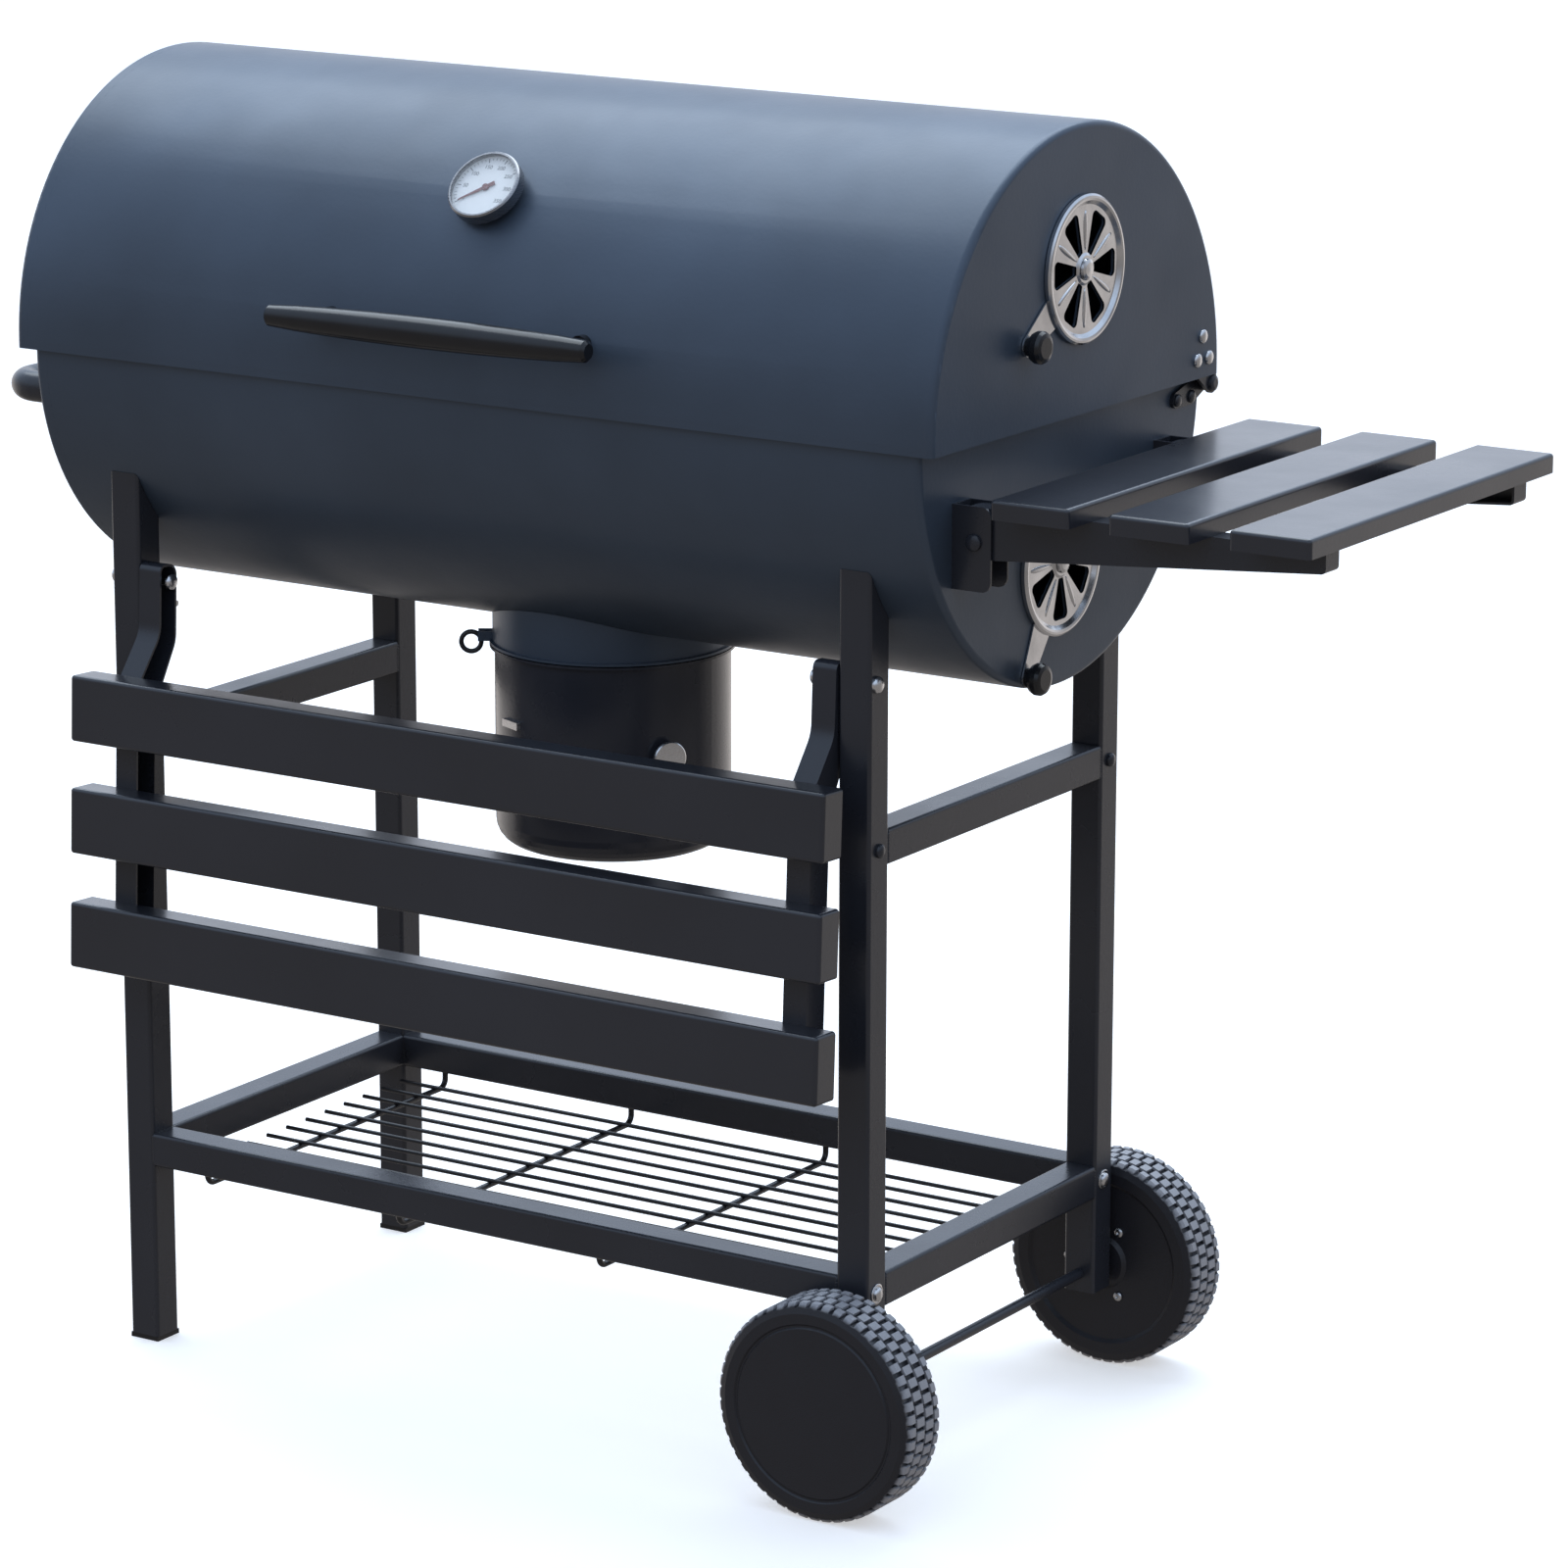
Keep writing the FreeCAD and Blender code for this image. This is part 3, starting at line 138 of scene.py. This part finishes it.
# ---- node helpers --------------------------------------------------------------------------
class Shader:
    """A new node material with its Principled shader, and short ways to add nodes to it."""

    def __init__(self, name):
        self.material = bpy.data.materials.new(name)
        self.material.use_nodes = True
        self.tree = self.material.node_tree
        self.bsdf = self.tree.nodes["Principled BSDF"]
        self.coords = self.tree.nodes.new("ShaderNodeTexCoord")

    def set(self, **values):
        for key, value in values.items():
            self.bsdf.inputs[key.replace("_", " ")].default_value = value
        return self

    def link(self, source, target):
        self.tree.links.new(source, target)

    def mapped(self, scale=(1.0, 1.0, 1.0)):
        mapping = self.tree.nodes.new("ShaderNodeMapping")
        mapping.inputs["Scale"].default_value = scale
        self.link(self.coords.outputs["Object"], mapping.inputs["Vector"])
        return mapping.outputs["Vector"]

    def noise(self, scale, detail=3.0, stretch=(1.0, 1.0, 1.0)):
        node = self.tree.nodes.new("ShaderNodeTexNoise")
        node.inputs["Scale"].default_value = scale
        node.inputs["Detail"].default_value = detail
        self.link(self.mapped(stretch), node.inputs["Vector"])
        return node.outputs["Fac"]

    def grain(self, scale):
        node = self.tree.nodes.new("ShaderNodeTexVoronoi")
        node.inputs["Scale"].default_value = scale
        self.link(self.mapped(), node.inputs["Vector"])
        return node.outputs["Distance"]

    def ramp(self, source, low, high, out_low, out_high):
        node = self.tree.nodes.new("ShaderNodeMapRange")
        node.inputs["From Min"].default_value = low
        node.inputs["From Max"].default_value = high
        node.inputs["To Min"].default_value = out_low
        node.inputs["To Max"].default_value = out_high
        self.link(source, node.inputs["Value"])
        return node.outputs["Result"]

    def colours(self, source, low, high, first, last):
        node = self.tree.nodes.new("ShaderNodeValToRGB")
        node.color_ramp.elements[0].position = low
        node.color_ramp.elements[0].color = (*first, 1.0)
        node.color_ramp.elements[1].position = high
        node.color_ramp.elements[1].color = (*last, 1.0)
        self.link(source, node.inputs["Fac"])
        self.link(node.outputs["Color"], self.bsdf.inputs["Base Color"])

    def roughness(self, source, low, high):
        self.link(self.ramp(source, 0.3, 0.7, low, high), self.bsdf.inputs["Roughness"])

    def bump(self, *layers):
        """Each layer is (height output, distance in metres, strength)."""
        normal = None
        for height, distance, strength in layers:
            node = self.tree.nodes.new("ShaderNodeBump")
            node.inputs["Distance"].default_value = distance
            node.inputs["Strength"].default_value = strength
            self.link(height, node.inputs["Height"])
            if normal:
                self.link(normal, node.inputs["Normal"])
            normal = node.outputs["Normal"]
        self.link(normal, self.bsdf.inputs["Normal"])


def shade(colour, factor):
    return tuple(channel * factor for channel in colour)


# ---- materials -----------------------------------------------------------------------------
FRAME_COLOUR = (0.026, 0.028, 0.036)


def paint(name, colour, rough, peel, texture=0.0, flake=0.0, coat=0.12):
    """Sprayed or powder-coated steel: faint clouding, orange peel and an uneven gloss."""
    shader = Shader(name).set(Metallic=flake, IOR=1.5)
    shader.set(**{"Specular IOR Level": 0.5, "Coat Weight": coat, "Coat Roughness": 0.2})
    cloud = shader.noise(5.0, 4.0)
    shader.colours(cloud, 0.3, 0.7, shade(colour, 0.85), shade(colour, 1.15))
    shader.roughness(shader.noise(14.0, 5.0), rough - 0.04, rough + 0.05)
    layers = [(shader.noise(260.0, 2.0), 0.0004, peel)]
    if texture:
        layers.append((shader.noise(1500.0, 2.0), 0.0002, texture))
    shader.bump(*layers)
    return shader.material


def chrome(name):
    shader = Shader(name).set(Metallic=1.0)
    shader.colours(shader.noise(30.0, 4.0), 0.3, 0.7, (0.56, 0.56, 0.57), (0.80, 0.80, 0.81))
    shader.roughness(shader.noise(90.0, 6.0), 0.14, 0.26)
    shader.bump((shader.noise(220.0, 4.0), 0.0003, 0.10))
    return shader.material


def bolt_chrome(name, painted_beside):
    """Bright plated bolts, of which those at one node's height are painted over with the frame."""
    shader = Shader(name)
    low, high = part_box(painted_beside)
    height = shader.tree.nodes.new("ShaderNodeSeparateXYZ")
    shader.link(shader.coords.outputs["Object"], height.inputs["Vector"])
    beside = shader.tree.nodes.new("ShaderNodeMath")
    beside.operation = "COMPARE"
    beside.inputs[1].default_value = (low.z + high.z) / 2
    beside.inputs[2].default_value = (high.z - low.z) / 2
    shader.link(height.outputs["Z"], beside.inputs[0])
    painted = beside.outputs["Value"]
    shader.colours(painted, 0.0, 1.0, (0.70, 0.70, 0.71), FRAME_COLOUR)
    shader.link(shader.ramp(painted, 0.0, 1.0, 1.0, 0.0), shader.bsdf.inputs["Metallic"])
    shader.roughness(shader.noise(90.0, 6.0), 0.16, 0.30)
    shader.bump((shader.noise(220.0, 4.0), 0.0003, 0.10))
    return shader.material


def bright_steel(name, colour):
    """Turned or drawn steel with fine lines."""
    shader = Shader(name).set(Metallic=1.0)
    lines = shader.noise(60.0, 6.0, (1.0, 1.0, 30.0))
    shader.colours(lines, 0.3, 0.7, shade(colour, 0.85), colour)
    shader.roughness(lines, 0.22, 0.36)
    shader.bump((lines, 0.0002, 0.15))
    return shader.material


def plastic(name, colour, rough, grain):
    """Moulded plastic with a fine grain and a little handling shine."""
    shader = Shader(name).set(Metallic=0.0, IOR=1.48)
    shader.colours(shader.noise(18.0, 5.0), 0.3, 0.7, shade(colour, 0.8), shade(colour, 1.25))
    shader.roughness(shader.noise(35.0, 5.0), rough - 0.06, rough + 0.06)
    shader.bump((shader.grain(900.0), 0.0003, grain), (shader.noise(120.0, 3.0), 0.0005, 0.06))
    return shader.material


def wheel_plastic(name, colour, tread_highlight):
    """The wheels' dark plastic, with a painted highlight: a pale ring round the tread stands in for the
    light on it.
    """
    shader = Shader(name).set(Metallic=0.0, IOR=1.48)
    low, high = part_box("rear_wheel")
    radius = (high.z - low.z) / 2
    highlight_from = radius - 0.0015
    highlight_to = radius + 0.001
    unevenness = 0.004
    flat = shader.tree.nodes.new("ShaderNodeVectorMath")
    flat.operation = "MULTIPLY"
    flat.inputs[1].default_value = (1.0, 0.0, 1.0)
    shader.link(shader.coords.outputs["Object"], flat.inputs[0])
    distance = shader.tree.nodes.new("ShaderNodeVectorMath")
    distance.operation = "DISTANCE"
    distance.inputs[1].default_value = ((low.x + high.x) / 2, 0.0, radius)
    shader.link(flat.outputs["Vector"], distance.inputs[0])
    uneven = shader.tree.nodes.new("ShaderNodeMath")
    uneven.operation = "MULTIPLY_ADD"
    uneven.inputs[1].default_value = unevenness
    shader.link(shader.noise(160.0, 4.0), uneven.inputs[0])
    shader.link(distance.outputs["Value"], uneven.inputs[2])
    # the pale ring at the tread's radius is a painted highlight for the light on the tread
    highlight_mask = shader.ramp(uneven.outputs["Value"], highlight_from, highlight_to, 0.0, 1.0)
    shader.colours(highlight_mask, 0.0, 1.0, colour, tread_highlight)
    shader.roughness(shader.noise(35.0, 5.0), 0.34, 0.46)
    shader.bump((shader.grain(900.0), 0.0003, 0.30), (shader.noise(120.0, 3.0), 0.0005, 0.06))
    return shader.material


def dial_paint(name):
    shader = Shader(name).set(Metallic=0.0)
    shader.colours(shader.noise(60.0, 3.0), 0.3, 0.7, (0.93, 0.93, 0.92), (0.97, 0.97, 0.96))
    shader.roughness(shader.noise(200.0, 3.0), 0.42, 0.55)
    shader.bump((shader.noise(900.0, 2.0), 0.0001, 0.1))
    return shader.material


def dial_ink(name):
    """Printed grey ink, a little thin in places."""
    shader = Shader(name).set(Metallic=0.0)
    shader.colours(shader.noise(700.0, 3.0), 0.3, 0.7, (0.10, 0.10, 0.11), (0.20, 0.20, 0.21))
    shader.roughness(shader.noise(400.0, 2.0), 0.45, 0.6)
    shader.bump((shader.noise(1500.0, 2.0), 0.00005, 0.1))
    return shader.material


def dial_glass(name):
    shader = Shader(name).set(Metallic=0.0, IOR=1.45, Alpha=0.10)
    shader.set(**{"Base Color": (0.92, 0.95, 0.95, 1.0)})
    shader.roughness(shader.noise(120.0, 4.0), 0.02, 0.06)
    shader.bump((shader.noise(40.0, 2.0), 0.0002, 0.05))
    return shader.material


MATERIALS = {
    "barrel_paint": paint("barrel_paint", (0.060, 0.083, 0.118), 0.42, 0.22, flake=0.35),
    "frame_paint": paint("frame_paint", FRAME_COLOUR, 0.27, 0.15, 0.25),
    "slat_paint": paint("slat_paint", (0.020, 0.022, 0.030), 0.30, 0.15, 0.15, coat=0.5),
    "bucket_paint": paint("bucket_paint", (0.028, 0.030, 0.040), 0.26, 0.20),
    "wire_enamel": paint("wire_enamel", (0.018, 0.018, 0.021), 0.30, 0.30),
    "needle_paint": paint("needle_paint", (0.16, 0.015, 0.012), 0.40, 0.10),
    "chrome": chrome("chrome"),
    "bright_steel": bright_steel("bright_steel", (0.62, 0.62, 0.63)),
    "satin_zinc": bright_steel("satin_zinc", (0.78, 0.78, 0.79)),
    "case_steel": bright_steel("case_steel", (0.34, 0.34, 0.35)),
    "black_plastic": plastic("black_plastic", (0.012, 0.012, 0.014), 0.20, 0.06),
    # the second colour is the painted highlight on the wheels' tread
    "wheel_plastic": wheel_plastic("wheel_plastic", (0.018, 0.018, 0.023), (0.36, 0.36, 0.38)),
    "dial_white": dial_paint("dial_white"),
    "dial_glass": dial_glass("dial_glass"),
}
DIAL_INK = dial_ink("dial_ink")
BOLT_MATERIALS = {
    "body_fasteners": bolt_chrome("stand_bolts", "upper_rail_right"),
    "pivot_bolts": bolt_chrome("pivot_chrome", "side_table_brackets"),
}


def dress_nodes():
    """Puts the material of each node's slot on it, or for the part-painted bolts their own."""
    for name, node in NODES.items():
        material = BOLT_MATERIALS.get(name, MATERIALS[SLOT_OF[name]])
        if not node.material_slots:
            node.data.materials.append(material)
        for slot in node.material_slots:
            slot.material = material


# ---- small fittings --------------------------------------------------------------------------
def place(name, bm, body, slot, material=None):
    """Makes a piece from a bmesh that rides a body and takes its finish from a slot."""
    bmesh.ops.recalc_face_normals(bm, faces=bm.faces)
    mesh = bpy.data.meshes.new(name)
    bm.to_mesh(mesh)
    bm.free()
    for face in mesh.polygons:
        face.use_smooth = True
    mesh.materials.append(material or MATERIALS[slot])
    obj = bpy.data.objects.new(name, mesh)
    bpy.context.scene.collection.objects.link(obj)
    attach(obj, body)


def across(axis):
    """Two directions square to an axis and to each other."""
    first = axis.orthogonal().normalized()
    return first, axis.cross(first)


def skin(bm, rings, closed):
    """Joins rings of points with faces. A closed row of rings meets itself; an open one gets ends."""
    made = [[bm.verts.new(point) for point in ring] for ring in rings]
    pairs = list(zip(made, made[1:]))
    if closed:
        pairs.append((made[-1], made[0]))
    else:
        bm.faces.new(made[0])
        bm.faces.new(made[-1])
    for here, following in pairs:
        for j in range(len(here)):
            k = (j + 1) % len(here)
            bm.faces.new((here[j], here[k], following[k], following[j]))


def lathe(bm, base, axis, profile):
    """A turned ring: the profile's points are (distance along the axis, radius), in metres."""
    first, second = across(axis)
    turns = [2 * math.pi * i / LATHE_SEGMENTS for i in range(LATHE_SEGMENTS)]
    rings = []
    for along, radius in profile:
        rings.append([base + axis * along + (first * math.cos(t) + second * math.sin(t)) * radius
                      for t in turns])
    skin(bm, rings, True)


def washer(bm, base, axis):
    """A flat washer with a broken outer edge."""
    edge = 0.25 * WASHER_THICK
    lathe(bm, base, axis, [(0.0, WASHER_HOLE), (0.0, WASHER_OUTER), (WASHER_THICK - edge, WASHER_OUTER),
                           (WASHER_THICK, WASHER_OUTER - edge), (WASHER_THICK, WASHER_HOLE)])


def screw(bm, base, axis):
    """A domed head with a sunk middle, as a cross-head screw has."""
    profile = [(0.0, SCREW_RADIUS * 0.05), (0.0, SCREW_RADIUS)]
    for i in range(SCREW_DOME_STEPS):
        angle = math.radians(10 + 10 * i)
        profile.append((SCREW_HEIGHT * (0.3 + 0.7 * math.sin(angle)), SCREW_RADIUS * math.cos(angle)))
    profile.append((SCREW_HEIGHT * 0.45, SCREW_RADIUS * 0.22))
    profile.append((SCREW_HEIGHT * 0.40, SCREW_RADIUS * 0.05))
    lathe(bm, base, axis, profile)


def bead(bm, corners, normal):
    """A rippled weld bead along a square of corners that faces along normal."""
    rings = []
    for i, corner in enumerate(corners):
        following = corners[(i + 1) % len(corners)]
        outward = (following - corner).cross(normal).normalized()
        for j in range(WELD_STEPS):
            radius = WELD_RADIUS * (1.0 + WELD_RIPPLE * math.sin(WELD_WAVE * j + i))
            middle = corner.lerp(following, j / WELD_STEPS)
            ring = []
            for k in range(WELD_SIDES):
                turn = 2 * math.pi * k / WELD_SIDES
                ring.append(middle + (outward * math.cos(turn) + normal * math.sin(turn)) * radius)
            rings.append(ring)
    skin(bm, rings, True)


def rail_welds():
    """Weld beads where the rails' ends meet the legs."""
    bm = bmesh.new()
    inset = Vector((WELD_INSET, WELD_INSET, WELD_INSET))
    for name in NODES:
        if "_rail_" not in name:
            continue
        low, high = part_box(name)
        along = 0 if high.x - low.x > high.y - low.y else 1
        side = 1 - along
        normal = Vector((0.0, 0.0, 0.0))
        normal[along] = 1.0
        inner_low = low + inset
        inner_high = high - inset
        for end in (low[along], high[along]):
            corners = []
            for sideways, height in ((inner_low, inner_low), (inner_high, inner_low),
                                     (inner_high, inner_high), (inner_low, inner_high)):
                corner = Vector((0.0, 0.0, height.z))
                corner[along] = end
                corner[side] = sideways[side]
                corners.append(corner)
            bead(bm, corners, normal)
    place("rail_welds", bm, "grill_body", "frame_paint")


def stand_washers():
    """A washer under each bright bolt head on the legs' outer faces, at the bottom rails."""
    bm = bmesh.new()
    for side, sign in (("left", -1.0), ("right", 1.0)):
        rail_low, rail_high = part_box(f"bottom_rail_{side}")
        for end in ("front", "rear"):
            low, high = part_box(f"{end}_{side}_leg")
            base = Vector((low.x if sign < 0 else high.x, (low.y + high.y) / 2,
                           (rail_low.z + rail_high.z) / 2))
            washer(bm, base, Vector((sign, 0.0, 0.0)))
    place("stand_washers", bm, "grill_body", "chrome")


def wheel_screws():
    """The screws that hold each wheel's two halves together, on its inner face."""
    for wheel, sign in (("front_wheel", -1.0), ("rear_wheel", 1.0)):
        bm = bmesh.new()
        low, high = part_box(wheel)
        inner = (high.y if sign < 0 else low.y) + sign * WHEEL_WEB_DEPTH
        centre = Vector(((low.x + high.x) / 2, inner, (low.z + high.z) / 2))
        for i in range(WHEEL_SCREWS):
            turn = math.radians(60 + 360 / WHEEL_SCREWS * i)
            away = Vector((math.cos(turn), 0.0, math.sin(turn))) * SCREW_CIRCLE
            screw(bm, centre + away, Vector((0.0, -sign, 0.0)))
        place(f"{wheel}_screws", bm, wheel, "bright_steel")


def rib(bm, start, out, aside, up):
    """A low rounded ridge from start along out, that thins to nothing at both ends."""
    rings = []
    for i in range(RIB_STEPS + 1):
        along = i / RIB_STEPS
        swell = math.sin(math.pi * min(max(along, RIB_TIP), 1.0 - RIB_TIP)) ** RIB_FULLNESS
        width = (RIB_HALF_WIDTH + RIB_WIDENING * along) * swell
        middle = start + out * RIB_LENGTH * along
        ring = []
        for k in range(RIB_SIDES + 1):
            turn = math.pi * k / RIB_SIDES
            ring.append(middle + aside * width * math.cos(turn) + up * RIB_HEIGHT * swell * math.sin(turn))
        rings.append(ring)
    skin(bm, rings, False)


def damper_ribs():
    """Ribs pressed along the spokes between each damper's openings."""
    joints = {joint["child"]: joint for joint in frame["record"]["behaviour"]["joints"]}
    for damper in ("lid_damper", "body_damper"):
        hub = Vector(joints[damper]["pos_m"])
        knob_low, knob_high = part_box(f"{damper}_knob")
        grip = (knob_low + knob_high) / 2
        lever = math.atan2(grip.z - hub.z, grip.y - hub.y)
        hub.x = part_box(damper)[0].x + DAMPER_FACE
        bm = bmesh.new()
        for i in range(DAMPER_SPOKES):
            turn = lever + 2 * math.pi * i / DAMPER_SPOKES
            out = Vector((0.0, math.cos(turn), math.sin(turn)))
            aside = Vector((0.0, -out.z, out.y))
            rib(bm, hub + out * RIB_START, out, aside, Vector((1.0, 0.0, 0.0)))
        place(f"{damper}_ribs", bm, damper, "chrome")


def dial_scale():
    """A ring of ticks and plain numbers on the thermometer's dial."""
    low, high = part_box("thermometer_dial")
    tilt = math.radians(DIAL_ANGLE)
    axis = Vector((0.0, -math.cos(tilt), math.sin(tilt)))
    up = Vector((0.0, math.sin(tilt), math.cos(tilt)))
    right = Vector((1.0, 0.0, 0.0))
    face = (low + high) / 2 + axis * DIAL_FACE
    radius = (high.x - low.x) / 2
    bm = bmesh.new()
    for i in range(DIAL_TICKS + 1):
        turn = math.radians(DIAL_START - DIAL_SWEEP * i / DIAL_TICKS)
        out = right * math.cos(turn) + up * math.sin(turn)
        aside = right * math.sin(turn) - up * math.cos(turn)
        numbered = i % TICKS_PER_NUMBER == 0
        inner, half = LONG_TICK if numbered else SHORT_TICK
        top = axis * TICK_THICK
        rings = []
        for point in (face + out * radius * inner, face + out * radius * TICK_END):
            rings.append([point + aside * half, point - aside * half,
                          point - aside * half + top, point + aside * half + top])
        skin(bm, rings, False)
        if numbered:
            number = str(DIAL_STEP * i // TICKS_PER_NUMBER)
            dial_number(number, face + out * radius * NUMBER_PLACE, right, up, axis)
    place("dial_ticks", bm, "lid", "dial_white", DIAL_INK)


def dial_number(text, middle, right, up, axis):
    curve = bpy.data.curves.new(f"dial_number_{text}", "FONT")
    curve.body = text
    curve.size = NUMBER_SIZE
    curve.align_x = "CENTER"
    curve.align_y = "CENTER"
    curve.extrude = NUMBER_THICK
    curve.materials.append(DIAL_INK)
    obj = bpy.data.objects.new(f"dial_number_{text}", curve)
    turn = Matrix((right, up, axis)).transposed().to_4x4()
    obj.matrix_world = Matrix.Translation(middle) @ turn
    bpy.context.scene.collection.objects.link(obj)
    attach(obj, "lid")


# ---- floor, room, light and camera ---------------------------------------------------------
def floor():
    """A pale floor that lights nothing itself, so the underside of the grill stays dark."""
    mesh = bpy.data.meshes.new("floor")
    half = FLOOR_HALF
    corners = [(-half, -half, 0.0), (half, -half, 0.0), (half, half, 0.0), (-half, half, 0.0)]
    mesh.from_pydata(corners, [], [(0, 1, 2, 3)])
    obj = bpy.data.objects.new("floor", mesh)
    bpy.context.scene.collection.objects.link(obj)
    shader = Shader("floor").set(Metallic=0.0)
    shader.colours(shader.noise(1.5, 2.0), 0.3, 0.7, (0.86, 0.86, 0.865), (0.88, 0.88, 0.885))
    shader.roughness(shader.noise(3.0, 2.0), 0.75, 0.85)
    shader.set(**{"Emission Color": (1.0, 1.0, 1.0, 1.0), "Emission Strength": FLOOR_GLOW})
    mesh.materials.append(shader.material)
    obj.visible_diffuse = False
    obj.visible_glossy = False


def world():
    """A studio: a white backdrop behind the grill, a dark room in front of it and a pale ceiling."""
    scene_world = bpy.data.worlds.new("studio")
    bpy.context.scene.world = scene_world
    scene_world.use_nodes = True
    tree = scene_world.node_tree
    coords = tree.nodes.new("ShaderNodeTexCoord")

    def facing(direction, fade, dark, light):
        """How bright the room is towards a direction: dark before the fade and light after it."""
        dot = tree.nodes.new("ShaderNodeVectorMath")
        dot.operation = "DOT_PRODUCT"
        dot.inputs[1].default_value = direction
        tree.links.new(coords.outputs["Generated"], dot.inputs[0])
        ramp = tree.nodes.new("ShaderNodeMapRange")
        ramp.interpolation_type = "SMOOTHSTEP"
        ramp.inputs["From Min"].default_value = fade[0]
        ramp.inputs["From Max"].default_value = fade[1]
        ramp.inputs["To Min"].default_value = dark
        ramp.inputs["To Max"].default_value = light
        tree.links.new(dot.outputs["Value"], ramp.inputs["Value"])
        return ramp.outputs["Result"]

    def combine(operation, first, second):
        node = tree.nodes.new("ShaderNodeMath")
        node.operation = operation
        tree.links.new(first, node.inputs[0])
        tree.links.new(second, node.inputs[1])
        return node.outputs["Value"]

    backdrop = facing(BACKDROP_WAY, BACKDROP_FADE, 0.0, BACKDROP)
    above_ground = facing(UP, GROUND_FADE, 0.0, 1.0)
    ceiling = facing(UP, CEILING_FADE, ROOM, CEILING)
    strength = combine("MAXIMUM", combine("MULTIPLY", backdrop, above_ground), ceiling)
    tint = tree.nodes.new("ShaderNodeValToRGB")
    tint.color_ramp.elements[0].color = ROOM_TINT
    tint.color_ramp.elements[1].color = CEILING_TINT
    tree.links.new(facing(UP, TINT_FADE, 0.0, 1.0), tint.inputs["Fac"])
    background = tree.nodes["Background"]
    tree.links.new(tint.outputs["Color"], background.inputs["Color"])
    tree.links.new(strength, background.inputs["Strength"])


def softbox():
    """A wide cool light high behind the grill."""
    light = bpy.data.lights.new("overhead", "AREA")
    light.shape = "RECTANGLE"
    light.size, light.size_y = SOFTBOX_SIZE
    light.energy = SOFTBOX_POWER
    light.color = SOFTBOX_TINT
    obj = bpy.data.objects.new("overhead", light)
    obj.location = SOFTBOX_PLACE
    obj.rotation_euler = (SOFTBOX_AIM - SOFTBOX_PLACE).to_track_quat("-Z", "Y").to_euler()
    bpy.context.scene.collection.objects.link(obj)


def camera():
    azimuth = math.radians(CAMERA_AZIMUTH)
    elevation = math.radians(CAMERA_ELEVATION)
    back = Vector((math.sin(azimuth) * math.cos(elevation), -math.cos(azimuth) * math.cos(elevation),
                   math.sin(elevation)))
    right = Vector((math.cos(azimuth), math.sin(azimuth), 0.0))
    right = Matrix.Rotation(math.radians(CAMERA_ROLL), 3, back) @ right
    up = back.cross(right)
    data = bpy.data.cameras.new("camera")
    data.sensor_width = SENSOR
    data.lens = LENS
    data.clip_end = CLIP_END
    obj = bpy.data.objects.new("camera", data)
    turn = Matrix((right, up, back)).transposed().to_4x4()
    shell_low, shell_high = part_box("body_shell")
    barrel = (shell_low + shell_high) / 2
    aim = Vector((barrel.x + CAMERA_AIM_OFF.x, barrel.y + CAMERA_AIM_OFF.y, CAMERA_AIM_Z))
    obj.matrix_world = Matrix.Translation(aim + back * CAMERA_DISTANCE) @ turn
    bpy.context.scene.collection.objects.link(obj)
    bpy.context.scene.camera = obj


camera()
dress_nodes()
rail_welds()
stand_washers()
wheel_screws()
damper_ribs()
dial_scale()
floor()
world()
softbox()
bpy.context.scene.view_settings.view_transform = "Standard"
